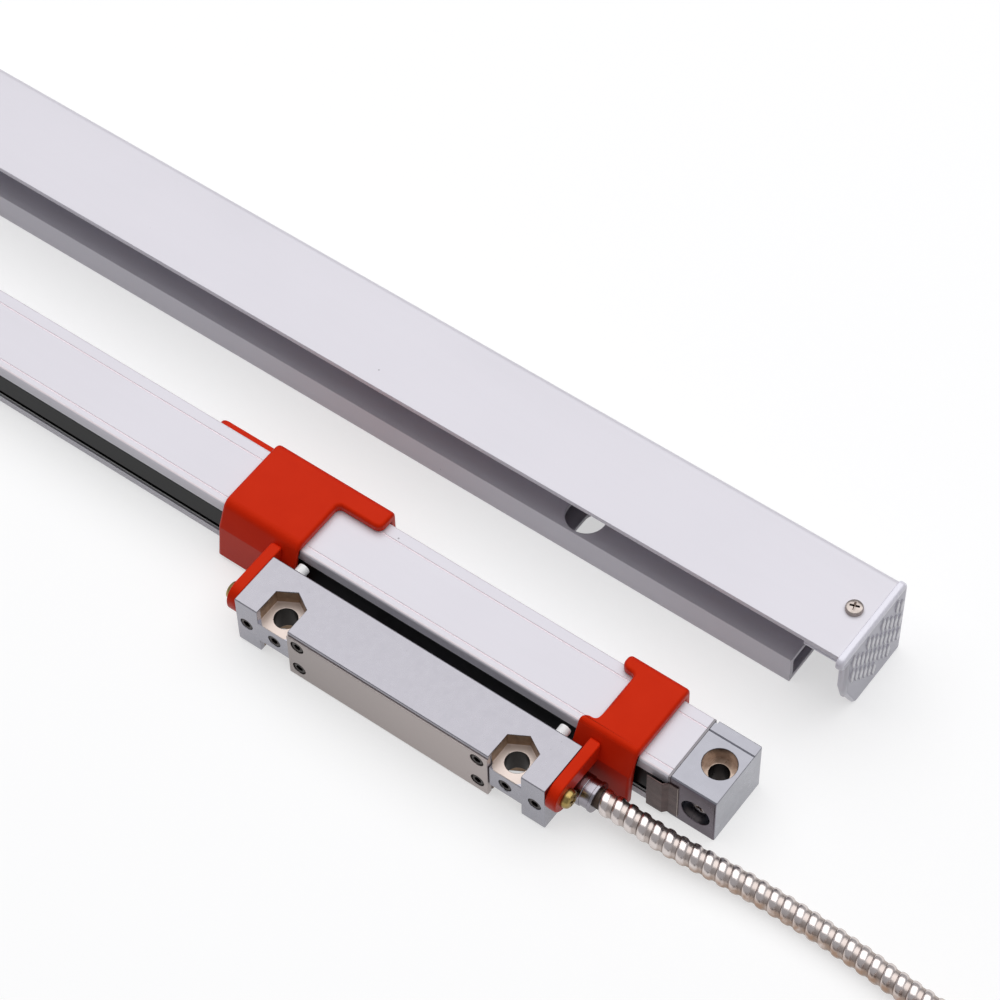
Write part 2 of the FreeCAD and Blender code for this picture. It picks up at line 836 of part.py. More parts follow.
def circuit_board():
    far = cavity_far - size.board_play
    near = far - size.board_thickness
    half_height = size.cavity_height / 2 - size.board_play
    body = new_body("circuit_board")
    add(body, "y", near, far,
        box(cavity_left + size.board_inset, cavity_right - size.board_inset, head_centre - half_height,
            head_centre + half_height))
    for offset, length, height, depth in BOARD_PARTS:
        x = head_middle + offset
        add(body, "y", near - depth, near,
            box(x - length / 2, x + length / 2, head_centre - height / 2, head_centre + height / 2))


def reader_blade():
    """Steel blade that passes between the lips and takes the scanning carriage along, and its screws."""
    body = new_body("reader_blade")
    add(body, "y", head_far - size.blade_seat, near_face + size.blade_reach, blade_outline())
    cut(body, "z", size.blade_level, blade_top,
        *[(x, blade_row, size.blade_screw) for x in blade_screw_places])
    group("blade_screws", [
        screw(f"blade_screw_{i}", "z", (x, blade_row, blade_screw_seat), size.blade_screw_head,
              size.blade_screw_head_height, size.blade_screw, size.blade_screw_length)
        for i, x in enumerate(blade_screw_places)])


# Scanning carriage inside the housing, on five ball bearings that roll on the glass
carriage_near = near_face + size.carriage_inset
web_far = carriage_near + size.carriage_web
shelf_top = size.carriage_foot + size.carriage_shelf
face_level = glass_top + size.bearing_play + size.bearing / 2
edge_row = glass_near - size.bearing_play - size.bearing / 2
half_bearing = size.bearing_width / 2
bearings = {
    "face_bearing_left": ("y", (head_middle - size.face_bearing_spacing / 2,
                                glass_near + size.face_bearing_inset, face_level)),
    "face_bearing_right": ("y", (head_middle + size.face_bearing_spacing / 2,
                                 glass_near + size.face_bearing_inset, face_level)),
    "face_bearing_middle": ("y", (head_middle, glass_near + size.middle_bearing_inset, face_level)),
    "edge_bearing_left": ("z", (head_middle - size.edge_bearing_spacing / 2, edge_row, glass_middle)),
    "edge_bearing_right": ("z", (head_middle + size.edge_bearing_spacing / 2, edge_row, glass_middle)),
}
optics_left = head_middle + size.optics_offset - size.optics_length / 2
optics_right = optics_left + size.optics_length
optics_far = web_far + size.optics_depth
reticle_floor = glass_top + size.optics_gap
sensor_floor = reticle_floor + size.reticle_thickness
sensor_top = sensor_floor + size.sensor_board_thickness


def carriage_frame():
    half = size.carriage_length / 2
    body = new_body("carriage_frame")
    add(body, "y", carriage_near, web_far,
        box(head_middle - half, head_middle + half, size.carriage_foot, size.carriage_top))
    add(body, "z", size.carriage_foot, shelf_top,
        box(head_middle - half, head_middle + half, carriage_near, web_far + size.carriage_shelf_reach))
    add(body, "z", sensor_top, sensor_top + size.carriage_roof,
        box(optics_left, optics_right, carriage_near + size.carriage_web / 2, optics_far))
    for axis, (x, y, z) in bearings.values():
        if axis == "y":
            base, tip, centre = web_far, y - half_bearing - size.bearing_shoulder, (x, z)
        else:
            base, tip, centre = size.carriage_foot, z - half_bearing - size.bearing_shoulder, (x, y)
        add(body, axis, base, tip, (*centre, size.bearing_boss))
        cut(body, axis, tip - size.pin_seat, tip, (*centre, size.bearing_pin))


def carriage_optics():
    """Light source under the glass, reticle and sensor above it."""
    light_top = shelf_top + size.light_board_thickness
    near = web_far + size.board_play
    light = new_body("light_board")
    add(light, "z", shelf_top, light_top, box(optics_left, optics_right, near, optics_far))
    add(light, "z", light_top, light_top + size.led_height,
        (head_middle + size.optics_offset, (near + optics_far) / 2, size.led))
    inset = size.reticle_inset
    reticle = new_body("scanning_reticle")
    add(reticle, "z", reticle_floor, sensor_floor,
        box(optics_left + inset, optics_right - inset, glass_near + inset, optics_far - inset))
    sensor = new_body("sensor_board")
    add(sensor, "z", sensor_floor, sensor_top, box(optics_left, optics_right, near, optics_far))


def ring_section():
    """Half section of a small ball bearing: two rings with a sunk shield between them."""
    bore = size.bearing_pin / 2 + size.bearing_play
    rim = size.bearing / 2
    inner = bore + size.bearing_ring
    outer = rim - size.bearing_ring
    shield = half_bearing - size.bearing_shield_sink
    top = [(bore, half_bearing), (inner, half_bearing), (inner, shield), (outer, shield),
           (outer, half_bearing), (rim, half_bearing)]
    return top + [(radius, -height) for radius, height in reversed(top)]


def bearing(name, axis, centre):
    body = new_body(name)
    sketch = draw(body, "z" if axis == "y" else "y", 0, [ring_section()])
    turned = body.newObject("PartDesign::Revolution", name + "_revolution")
    turned.Profile = sketch
    turned.ReferenceAxis = (sketch, ["V_Axis"])
    body.Tip = turned
    move(body, centre)


def bearing_pins():
    """An axle for each bearing, with a washer at its free end."""
    pins = []
    for name, (axis, centre) in bearings.items():
        along = "xyz".index(axis)
        foot = list(centre)
        foot[along] = centre[along] - half_bearing - size.bearing_shoulder - size.pin_seat
        free_end = list(centre)
        free_end[along] = centre[along] + half_bearing + size.bearing_shoulder
        length = free_end[along] - foot[along] + size.pin_washer
        axle = rod(name + "_axle", axis, foot, size.bearing_pin, length)
        washer = rod(name + "_washer", axis, free_end, size.bearing_boss, size.pin_washer)
        pins.append(join(name + "_pin", [axle, washer]))
    group("bearing_pins", pins)


def coupling_wire():
    """Spring wire from the blade's top to the carriage web."""
    left = head_middle - size.wire_length / 2
    right = left + size.wire_length
    row = carriage_near - size.wire / 2 - size.wire_gap
    level = size.wire_level
    keep(join("coupling_wire", [
        rod("wire_riser", "z", (left, row, blade_top), size.wire, level - blade_top),
        ball("wire_left_bend", (left, row, level), size.wire),
        rod("wire_run", "x", (left, row, level), size.wire, size.wire_length),
        ball("wire_right_bend", (right, row, level), size.wire),
        rod("wire_foot", "y", (right, row, level), size.wire, carriage_near - row)]), "coupling_wire")


# Transport brackets: moulded straps that hold the head in line with the housing
crease_row = near_face - size.crease_reach
wall_foot_row = near_face - size.foot_reach


def near_wall_outline():
    """Section of a bracket's near wall, which leans out below its crease."""
    wall = size.bracket_near_wall
    return [(bracket_near, bracket_top), (crease_row, size.crease_level),
            (wall_foot_row, size.wall_foot_level),
            (wall_foot_row + wall, size.wall_foot_level), (crease_row + wall, size.crease_level),
            (bracket_near + wall, bracket_under), (bracket_near + wall, bracket_top)]


def arm_outline(near):
    """An arm along the end of the head, from its near corner to the middle of the near wall."""
    half = size.bracket_near_wall / 2
    return [(near, size.arm_foot_level), (near, size.arm_top_level),
            (bracket_near + half, size.arm_top_level),
            (crease_row + half, size.crease_level), (wall_foot_row + half, size.arm_foot_level)]


def bracket_shell(body, left, right, wall_left, roof):
    """Roof over the housing, far wall along its whole length and near wall from wall_left on."""
    add(body, "z", bracket_under, bracket_top, roof)
    add(body, "z", size.far_wall_level, bracket_top, box(left, right, bracket_far_inner, bracket_far_outer))
    add(body, "x", *wall_left, near_wall_outline())
    soften(body, "Fillet", "x", size.bracket_corner, (bracket_far_outer, bracket_top))
    soften(body, "Fillet", "x", size.bracket_bend, (bracket_near, bracket_top))


def left_bracket():
    tongue_right = left_bracket_right + size.left_tongue_reach
    tongue_near = bracket_far_outer - size.left_tongue_width
    body = new_body("left_bracket")
    bracket_shell(body, left_bracket_left, tongue_right, (left_bracket_left, left_bracket_right), [
        (left_bracket_left, bracket_near), (left_bracket_right, bracket_near),
        (left_bracket_right, tongue_near), (tongue_right, tongue_near),
        (tongue_right, bracket_far_outer), (left_bracket_left, bracket_far_outer)])
    soften(body, "Fillet", "z", size.bracket_corner, (tongue_right, tongue_near))
    tab_left = left_bracket_left - size.left_tab_reach
    add(body, "z", size.far_wall_level, size.left_tab_height,
        box(tab_left, left_bracket_left, bracket_far_inner, bracket_far_outer))
    soften(body, "Fillet", "y", size.bracket_corner,
           (tab_left, size.left_tab_height), (tab_left, size.far_wall_level))
    arm_left = head_left - size.arm_thickness
    arm_near = head_near + size.left_arm_inset
    add(body, "x", arm_left, head_left, arm_outline(arm_near))
    soften(body, "Chamfer", "z", size.arm_bevel, (arm_left, arm_near))
    cut(body, "x", arm_left, head_left, (bracket_screw_row, size.bracket_screw_level, size.bracket_screw))


def right_bracket():
    far_lobe = right_strap_left - size.far_lobe_reach
    near_lobe = right_strap_left - size.near_lobe_reach
    far_edge = bracket_far_outer - size.far_lobe_width
    near_edge = bracket_near + size.near_lobe_width
    body = new_body("right_bracket")
    bracket_shell(body, far_lobe, right_strap_right, (near_lobe, right_strap_right), [
        (near_lobe, bracket_near), (right_strap_right, bracket_near), (right_strap_right, bracket_far_outer),
        (far_lobe, bracket_far_outer), (far_lobe, far_edge), (right_strap_left, far_edge),
        (right_strap_left, near_edge), (near_lobe, near_edge)])
    soften(body, "Fillet", "z", size.bracket_corner, (far_lobe, far_edge), (near_lobe, near_edge))
    arm_right = head_right + size.arm_thickness
    arm_near = head_near - size.right_arm_overhang
    add(body, "x", head_right, arm_right, arm_outline(arm_near))
    soften(body, "Chamfer", "z", size.arm_bevel, (arm_right, arm_near))
    half_notch = size.gland_notch_width / 2
    cut(body, "x", head_right, arm_right,
        box(gland_row - half_notch, gland_row + half_notch, size.arm_foot_level, size.gland_notch_height))
    cut(body, "x", head_right, arm_right, (bracket_screw_row, size.bracket_screw_level, size.bracket_screw))


def bracket_screws():
    seats = {"x": head_left - size.arm_thickness, "-x": head_right + size.arm_thickness}
    length = size.arm_thickness + size.bracket_screw_length
    group("bracket_screws", [
        screw(f"bracket_screw_{i}", axis, (seat, bracket_screw_row, size.bracket_screw_level),
              size.bracket_screw_head, size.bracket_screw_head_height, size.bracket_screw, length)
        for i, (axis, seat) in enumerate(seats.items())])


def alignment_pads():
    """White pads that keep the head square to the housing."""
    group("alignment_pads", [
        screw(f"alignment_pad_{i}", "-y", (x, head_far, size.align_pad_level), size.align_pad,
              size.align_pad_reach, size.align_pad_stem, size.align_pad_stem_length)
        for i, x in enumerate(align_pad_places)])


# Cable gland, the conduit that is seen, its coil and the nine-pin connector
mouth = head_right + size.gland_length


def cable_gland():
    collar = head_right + size.gland_collar
    rim = mouth - size.gland_rim
    body = new_body("cable_gland")
    add(body, "x", head_right, collar, (gland_row, size.gland_level, size.gland))
    add(body, "x", collar, rim, (gland_row, size.gland_level, size.gland_waist))
    add(body, "x", rim, mouth, (gland_row, size.gland_level, size.gland))
    add(body, "x", spigot_end, head_right, (gland_row, size.gland_level, size.gland_spigot))
    cut(body, "x", spigot_end, mouth, (gland_row, size.gland_level, size.cable_core))
    start = cavity_right - size.board_inset + size.board_play
    core = rod("cable_core", "x", (start, gland_row, size.gland_level), size.cable_core, mouth - start)
    keep(core, "cable_core")


# Routes of the conduit as offsets from the gland's mouth: into the coil, and out of it to the connector
ROUTE = [(0, 0, 0), (10.5, 0, 0), (22, 0.5, -2.2), (43.5, 3.1, -4.0), (69.5, 3.1, -4.1), (96.5, 1.1, -4.1),
         (120.5, 0.5, -4.0), (144.5, 0.9, -3.3)]
TAIL = [(129.45, -84.45, -0.1), (104.5, -75.35, -0.1), (84.5, -75.35, -0.1)]
COIL_MIDDLE = (144.5, -43.1)


def rounded_path(points):
    """Straight runs joined by tangent arcs, each as large as its two runs allow."""
    edges = []
    radii = []
    start = points[0]
    for before, corner, after in zip(points, points[1:], points[2:]):
        reach = 0.45 * min(corner.distanceToPoint(before), corner.distanceToPoint(after))
        back = (before - corner).normalize()
        ahead = (after - corner).normalize()
        half_turn = (math.pi - back.getAngle(ahead)) / 2
        radius = reach / math.tan(half_turn)
        crown = corner + (back + ahead).normalize() * (radius / math.cos(half_turn) - radius)
        edges.append(Part.LineSegment(start, corner + back * reach).toShape())
        edges.append(Part.Arc(corner + back * reach, crown, corner + ahead * reach).toShape())
        radii.append(radius)
        start = corner + ahead * reach
    edges.append(Part.LineSegment(start, points[-1]).toShape())
    return Part.Wire(edges), radii


def tube(name, offsets):
    """A round tube along a route given from the gland's mouth."""
    points = [Vector(*offset) for offset in offsets]
    path, radii = rounded_path(points)
    radius = size.cable.number / 2
    section = Part.Wire(Part.Circle(points[0], points[1] - points[0], radius).toShape())
    shape = path.makePipeShell([section], True, True)
    if abs(shape.Volume / (math.pi * radius ** 2 * path.Length) - 1) > 0.01:
        raise ValueError(name + " has the wrong volume")
    print(name, "length", round(path.Length, 1), "radii", [round(value) for value in radii])
    feature = doc.addObject("Part::Feature", name)
    feature.Shape = shape
    feature.Placement = Placement(Vector(mouth.number, gland_row.number, size.gland_level.number), Rotation())
    keep(feature, name)


coil_x = mouth + COIL_MIDDLE[0]
coil_y = gland_row + COIL_MIDDLE[1]


def cable_coil():
    floor = size.tie_thickness
    body = new_body("cable_coil")
    add(body, "z", floor, floor + size.coil_height, (coil_x, coil_y, size.coil_outer),
        (coil_x, coil_y, size.coil_inner))
    doc.recompute()
    edges = body.Tip.Shape.Edges
    dress(body, "Fillet", size.coil_edge,
          [f"Edge{i}" for i, edge in enumerate(edges, start=1) if isinstance(edge.Curve, Part.Circle)])


def coil_tie():
    """A flat strap round the coil's section."""
    strap = size.tie_thickness
    inner = coil_x + size.coil_inner / 2 - size.tie_play
    outer = coil_x + size.coil_outer / 2 + size.tie_play
    body = new_body("coil_tie")
    add(body, "y", coil_y - size.tie_width / 2, coil_y + size.tie_width / 2,
        box(inner - strap, outer + strap, 0, size.coil_height + 2 * strap),
        box(inner, outer, strap, size.coil_height + strap))


hood_back = mouth + TAIL[-1][0]
hood_front = hood_back - size.hood_length
hood_row = gland_row + TAIL[-1][1]
hood_level = size.hood_height / 2
flange_front = hood_front - size.flange_thickness
thumbscrew_rows = {"right_thumbscrew": hood_row - size.thumbscrew_spacing / 2,
                   "left_thumbscrew": hood_row + size.thumbscrew_spacing / 2}
thumbscrew_holes = [(y, hood_level, size.thumbscrew + 2 * size.thumbscrew_play)
                    for y in thumbscrew_rows.values()]


def connector_hood():
    neck = size.hood_neck / 2
    ear = size.hood_width / 2
    slope = hood_back - size.hood_taper
    ear_back = hood_front + size.hood_ear
    left_half = [(hood_back, size.hood_mouth / 2), (slope, neck), (ear_back, neck), (ear_back, ear),
                 (hood_front, ear)]
    corners = [(x, hood_row + y) for x, y in left_half]
    corners += [(x, hood_row - y) for x, y in reversed(left_half)]
    body = new_body("connector_hood")
    add(body, "z", 0, size.hood_height, corners)
    soften(body, "Fillet", "z", size.hood_corner, (slope, hood_row + neck), (slope, hood_row - neck),
           (ear_back, hood_row + ear), (ear_back, hood_row - ear))
    cut(body, "x", hood_front, ear_back, *thumbscrew_holes)


def connector_face():
    half = size.flange_width / 2
    rise = size.flange_height / 2
    body = new_body("connector_face")
    add(body, "x", flange_front, hood_front,
        box(hood_row - half, hood_row + half, hood_level - rise, hood_level + rise), *thumbscrew_holes)
    top = size.shell_width / 2
    bottom = top - size.shell_taper
    rise = size.shell_height / 2
    add(body, "x", flange_front - size.shell_depth, flange_front, [
        (hood_row - bottom, hood_level - rise), (hood_row + bottom, hood_level - rise),
        (hood_row + top, hood_level + rise), (hood_row - top, hood_level + rise)])


def thumbscrew(name, y):
    shoulder = hood_front + size.hood_ear + size.thumbscrew_play
    tip = flange_front - size.thumbscrew_tip
    knob = rod(name + "_knob", "x", (shoulder, y, hood_level),
               size.thumbscrew_knob, size.thumbscrew_knob_length)
    stem = rod(name + "_stem", "x", (tip, y, hood_level), size.thumbscrew, shoulder - tip)
    keep(join(name, [knob, stem]), name)


# Mounting rail with roof: a C-shaped extrusion whose slotted foot is cut back at both ends
roof_under = size.cover_height - size.cover_roof
cap_screw_row = (cover_near + cover_far) / 2


def cover_profile():
    wall = size.foot_wall
    back = cover_far - size.cover_back
    inside = foot_near + wall
    foot_top = size.foot_height
    body = new_body("cover_profile")
    add(body, "x", cover_left, cover_right, [
        (cover_near, roof_under), (back, roof_under), (back, 0), (cover_far, 0),
        (cover_far, size.cover_height), (cover_near, size.cover_height)])
    soften(body, "Fillet", "x", size.cover_corner, (cover_far, size.cover_height))
    add(body, "x", cover_left + size.foot_setback, cover_right - size.foot_setback, [
        (foot_near, 0), (back, 0), (back, wall), (inside, wall), (inside, foot_top - wall),
        (back, foot_top - wall), (back, foot_top), (foot_near, foot_top)])
    slot_near = foot_near + size.slot_edge
    bolt_near = slot_near + (size.slot_length - size.bolt_slot_length) / 2
    places = [cover_right - size.slot_inset, cover_left + size.slot_inset]
    cut(body, "z", foot_top - wall, foot_top,
        *[(x, slot_near, slot_near + size.slot_length, size.slot_width) for x in places])
    cut(body, "z", 0, wall,
        *[(x, bolt_near, bolt_near + size.bolt_slot_length, size.bolt_slot_width) for x in places])
    cut(body, "z", roof_under, size.cover_height,
        *[(at_end(side, cover_right - size.cap_screw_inset), cap_screw_row, size.cap_screw)
          for side in SIDES])


def cover_cap(side):
    top = size.cover_height + size.cap_rim
    far = cover_far + size.cap_rim
    near = cover_near + size.cap_setback
    lip = cover_near - size.cap_lip_reach
    lip_foot = top - size.cap_lip_height
    slope_foot = near + size.cap_slope_depth
    body = new_body(side + "_cover_cap")
    add(body, "x", *span(side, cover_right, cover_right + size.cap_thickness), [
        (lip, lip_foot), (near, lip_foot), (near, size.cap_slope_height), (slope_foot, 0),
        (far, 0), (far, top), (lip, top)])
    soften(body, "Fillet", "x", size.cap_corner, (lip, lip_foot), (lip, top), (far, top), (slope_foot, 0))
    rib = near + size.cap_rib_inset
    rib_far = rib + size.cap_rib_width
    slope = size.cap_rib_slope
    rib_top = lip_foot - size.cap_rib_inset
    add(body, "x", *span(side, cover_right - size.cap_rib_depth, cover_right), [
        (rib, size.cap_slope_height), (rib + slope, size.cap_rib_level),
        (rib_far + slope, size.cap_rib_level),
        (rib_far, size.cap_slope_height), (rib_far, rib_top), (rib, rib_top)])
    tongue_near = cap_screw_row - size.tongue_width / 2
    tongue_foot = roof_under - size.tongue_thickness
    add(body, "x", *span(side, cover_right - size.tongue_length, cover_right),
        box(tongue_near, tongue_near + size.tongue_width, tongue_foot, roof_under))
    cut(body, "z", tongue_foot, roof_under,
        (at_end(side, cover_right - size.cap_screw_inset), cap_screw_row, size.cap_screw))


def cover_cap_screws():
    length = size.cover_roof + size.tongue_thickness
    group("cover_cap_screws", [
        screw(f"cover_cap_screw_{side}", "-z",
              (at_end(side, cover_right - size.cap_screw_inset), cap_screw_row, size.cover_height),
              size.cap_screw_head, size.cap_screw_head_height, size.cap_screw, length)
        for side in SIDES])


scale_housing()
glass_and_bond()
lip_seal("upper_lip_seal", upper_jaw, 1, blade_top + size.lip_clearance)
lip_seal("lower_lip_seal", size.lower_jaw_height, -1, size.blade_level - size.lip_clearance)
for side in SIDES:
    end_block(side)
    end_gasket(side)
    lip_clip(side)
block_screws()
head_body()
front_plate()
head_side_screws()
circuit_board()
reader_blade()
carriage_frame()
carriage_optics()
for name, (axis, centre) in bearings.items():
    bearing(name, axis, centre)
bearing_pins()
coupling_wire()
left_bracket()
right_bracket()
bracket_screws()
alignment_pads()
cable_gland()
tube("cable_conduit", ROUTE)
cable_coil()
coil_tie()
tube("cable_tail", TAIL)
connector_hood()
connector_face()
for name, y in thumbscrew_rows.items():
    thumbscrew(name, y)
cover_profile()
for side in SIDES:
    cover_cap(side)
cover_cap_screws()

doc.recompute()
for thing in doc.Objects:
    if {"Invalid", "Error"} & set(thing.State):
        raise ValueError(f"{thing.Label} failed: {thing.State}")
for piece in pieces:
    if piece.Shape.isNull() or not piece.Shape.isValid():
        raise ValueError(piece.Label + " has no valid shape")

os.makedirs("parts", exist_ok=True)
for piece in pieces:
    piece.Shape.exportStep(f"parts/{piece.Label}.step")
print(len(pieces), "sub-parts written")
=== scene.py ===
"""Linear glass scale: scale unit, reading head on its armoured cable, red transport brackets, mounting rail.

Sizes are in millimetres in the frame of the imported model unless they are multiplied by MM: +X along the
scale, +Y away from the reading head, +Z up, with the origin at the right mounting hole on the mounting face.
"""
import math

import bmesh
import bpy
from mathutils import Matrix, Vector


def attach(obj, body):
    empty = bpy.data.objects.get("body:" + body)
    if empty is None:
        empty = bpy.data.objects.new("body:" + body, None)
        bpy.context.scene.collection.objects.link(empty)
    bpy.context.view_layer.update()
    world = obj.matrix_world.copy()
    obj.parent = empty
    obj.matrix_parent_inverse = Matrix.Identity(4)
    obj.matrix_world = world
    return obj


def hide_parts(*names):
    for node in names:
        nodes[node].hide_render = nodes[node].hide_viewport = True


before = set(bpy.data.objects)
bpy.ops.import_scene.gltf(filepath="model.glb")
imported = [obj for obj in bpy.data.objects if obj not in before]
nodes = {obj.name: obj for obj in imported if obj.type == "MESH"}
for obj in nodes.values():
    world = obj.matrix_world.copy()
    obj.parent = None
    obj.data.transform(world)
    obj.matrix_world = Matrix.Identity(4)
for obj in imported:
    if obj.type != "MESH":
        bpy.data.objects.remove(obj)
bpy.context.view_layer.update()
scene = bpy.context.scene
MM = 0.001

# Studio: a pale paper table top under one large soft lamp, seen from the right and well above. The lamp
# gives the top faces their level, and faces towards the camera mostly get what the table throws back.
CAMERA_PLACE = (0.225758, -0.381033, 0.756915)
CAMERA_TURN = (0.61584, 0.02026, 0.62105)
LENS = 122.243


class Value:
    """A number, colour or field in a node tree. Arithmetic on it adds Math nodes."""

    def __init__(self, tree, socket):
        self.tree = tree
        self.socket = socket

    def maths(self, operation, *others, clamp=False):
        """A Math node on this value and the others."""
        settings = {"operation": operation, "use_clamp": clamp}
        return self.tree.node("ShaderNodeMath", settings, (self, *others))

    def __add__(self, other):
        return self.maths("ADD", other)

    def __sub__(self, other):
        return self.maths("SUBTRACT", other)

    def __rsub__(self, other):
        return self.maths("MULTIPLY_ADD", -1.0, other)

    def __mul__(self, other):
        return self.maths("MULTIPLY", other)

    def __truediv__(self, other):
        return self.maths("DIVIDE", other)

    __radd__ = __add__
    __rmul__ = __mul__

    def within(self, low, high):
        """Rises from 0 at low to 1 at high, and stays there."""
        return (self - low).maths("MULTIPLY", 1 / (high - low), clamp=True)


class Tree:
    """A node tree that is put together one node at a time."""

    def __init__(self, tree):
        self.tree = tree

    def node(self, kind, settings=None, values=(), output=0):
        node = self.tree.nodes.new(kind)
        for key, setting in (settings or {}).items():
            setattr(node, key, setting)
        for key, value in values.items() if isinstance(values, dict) else enumerate(values):
            self.feed(node.inputs[key], value)
        return Value(self, node.outputs[output])

    def feed(self, socket, value):
        if isinstance(value, Value):
            self.tree.links.new(value.socket, socket)
        else:
            socket.default_value = value

    def seen(self):
        """1 for what the camera sees, also in a mirror or through glass, and 0 for light between things."""
        rays = self.node("ShaderNodeLightPath").socket.node.outputs
        camera, glossy, through = [Value(self, rays["Is " + kind + " Ray"])
                                   for kind in ("Camera", "Glossy", "Transmission")]
        return camera + glossy + through


class Finish(Tree):
    """A material: a Principled surface fed by the nodes that are added."""

    def __init__(self, name):
        self.material = bpy.data.materials.new(name)
        self.material.use_nodes = True
        super().__init__(self.material.node_tree)
        self.surface = self.tree.nodes["Principled BSDF"]

    def place(self, stretch=(1, 1, 1)):
        """Object coordinates in millimetres, stretched along the axes."""
        spot = self.node("ShaderNodeTexCoord", output="Object")
        return self.node("ShaderNodeMapping", values={
            "Vector": spot, "Scale": [1 / s / MM for s in stretch]})

    def axis(self, letter):
        """Millimetres along one axis."""
        return self.node("ShaderNodeSeparateXYZ", values=[self.place()], output="XYZ".index(letter))

    def noise(self, size, detail=3.0, stretch=(1, 1, 1), roughness=0.5):
        """Cloudy noise from 0 to 1 with features about size millimetres across."""
        return self.node("ShaderNodeTexNoise", values={
            "Vector": self.place(stretch), "Scale": 1 / size, "Detail": detail, "Roughness": roughness})

    def specks(self, spacing, size):
        """1 in small spots of about size millimetres, scattered about spacing apart, and 0 elsewhere."""
        cells = self.node("ShaderNodeTexVoronoi", values={"Vector": self.place(), "Scale": 1 / spacing})
        return 1 - cells.within(size / spacing / 2, size / spacing)

    def mix(self, share, first, second):
        """A colour between two colours."""
        return self.node("ShaderNodeMix", {"data_type": "RGBA"}, {0: share, 6: first, 7: second}, output=2)

    def bump(self, height, depth, over=None):
        """Relief of a height from 0 to 1 times depth millimetres, over an earlier relief."""
        values = {"Height": height, "Distance": depth * MM, "Strength": 1.0}
        if over is not None:
            values["Normal"] = over
        return self.node("ShaderNodeBump", values=values)

    def coat(self, **values):
        """Sets the surface's sockets by name, with _ for a space."""
        for key, value in values.items():
            self.feed(self.surface.inputs[key.replace("_", " ")], value)
        return self


def rgb(*levels):
    """A colour as it looks on the screen, from 0 to 255, made linear."""
    shares = [level / 255 for level in levels]
    return (*[((s + 0.055) / 1.055) ** 2.4 if s > 0.04 else s / 12.92 for s in shares], 1.0)


def show(name, data):
    """A new object of the scene."""
    thing = bpy.data.objects.new(name, data)
    scene.collection.objects.link(thing)
    return thing


camera = show("camera", bpy.data.cameras.new("camera"))
x_turn, y_turn, z_turn = CAMERA_TURN
camera.matrix_world = (Matrix.Translation(CAMERA_PLACE) @ Matrix.Rotation(z_turn, 4, "Z")
                       @ Matrix.Rotation(x_turn, 4, "X") @ Matrix.Rotation(y_turn, 4, "Y"))
camera.data.lens = LENS
camera.data.sensor_width = 36.0
camera.data.clip_start = 0.05
scene.camera = camera
scene.view_settings.view_transform = "Standard"

TABLE_REACH = 6.0
table_mesh = bpy.data.meshes.new("table_top")
table_corners = [(x * TABLE_REACH, y * TABLE_REACH, 0) for x, y in ((-1, -1), (1, -1), (1, 1), (-1, 1))]
table_mesh.from_pydata(table_corners, [], [(0, 1, 2, 3)])
table_top = show("table_top", table_mesh)
table_top.location.z = -0.1 * MM
paper = Finish("paper")
seen = paper.seen()
fibres = paper.mix(paper.noise(300.0), (0.48, 0.48, 0.482, 1), (0.5, 0.5, 0.502, 1))
paper.coat(
    Base_Color=paper.mix(seen, (0.52, 0.52, 0.53, 1), fibres), Roughness=0.9, Specular_IOR_Level=0.1,
    Emission_Color=paper.mix(seen, (0, 0, 0, 1), (0.56, 0.56, 0.56, 1)), Emission_Strength=1.0)
table_mesh.materials.append(paper.material)

scene.world = bpy.data.worlds.new("studio")
scene.world.use_nodes = True
surround = Tree(scene.world.node_tree)
backdrop = surround.tree.nodes["Background"]
backdrop.inputs["Color"].default_value = (0.95, 0.955, 1.0, 1)
surround.feed(backdrop.inputs["Strength"], 0.22 + surround.seen() * 0.26)
roof_lamp = bpy.data.lights.new("roof_lamp", "AREA")
roof_lamp.shape = "RECTANGLE"
roof_lamp.size = 3.0
roof_lamp.size_y = 2.4
roof_lamp.energy = 34.0
lamp_holder = show("roof_lamp", roof_lamp)
lamp_holder.location = (-0.25, 0.4, 1.6)
lamp_aim = Vector((-0.15, 0, 0)) - lamp_holder.location
lamp_holder.rotation_euler = lamp_aim.to_track_quat("-Z", "Y").to_euler()


# Scale housing: a drawn aluminium tube whose near side is open for the head's blade, clear anodised to a
# faint lavender white. Two fine grooves run along its roof, and end blocks close both ends.
def wear(finish, *names):
    """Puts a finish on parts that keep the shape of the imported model."""
    for name in names:
        for i in range(len(nodes[name].data.materials)):
            nodes[name].data.materials[i] = finish.material


anodised = Finish("anodised")
drawn = anodised.noise(0.6, 3.0, stretch=(60, 1, 1))
grain = anodised.noise(0.25, 2.0)
tone_and_groove_light = anodised.mix(anodised.noise(50.0, 2.0), rgb(215, 212, 219), rgb(222, 219, 226))
height = anodised.axis("Z")
# Painted light: at the height of the roof grooves, 17.6 to 17.95 mm up, the colour is lightened to near
# white against the shade in the grooves.
groove = height.within(17.6, 17.65) * (1 - height.within(17.9, 17.95))
tone_and_groove_light = anodised.mix(groove, tone_and_groove_light, rgb(250, 240, 244))
anodised.coat(
    Base_Color=anodised.mix(anodised.specks(16.0, 0.35) * 0.7, tone_and_groove_light, rgb(120, 116, 120)),
    Metallic=0.2, Roughness=0.36 + drawn * 0.12,
    Normal=anodised.bump(grain, 0.005, anodised.bump(drawn, 0.004)))
wear(anodised, "scale_housing")

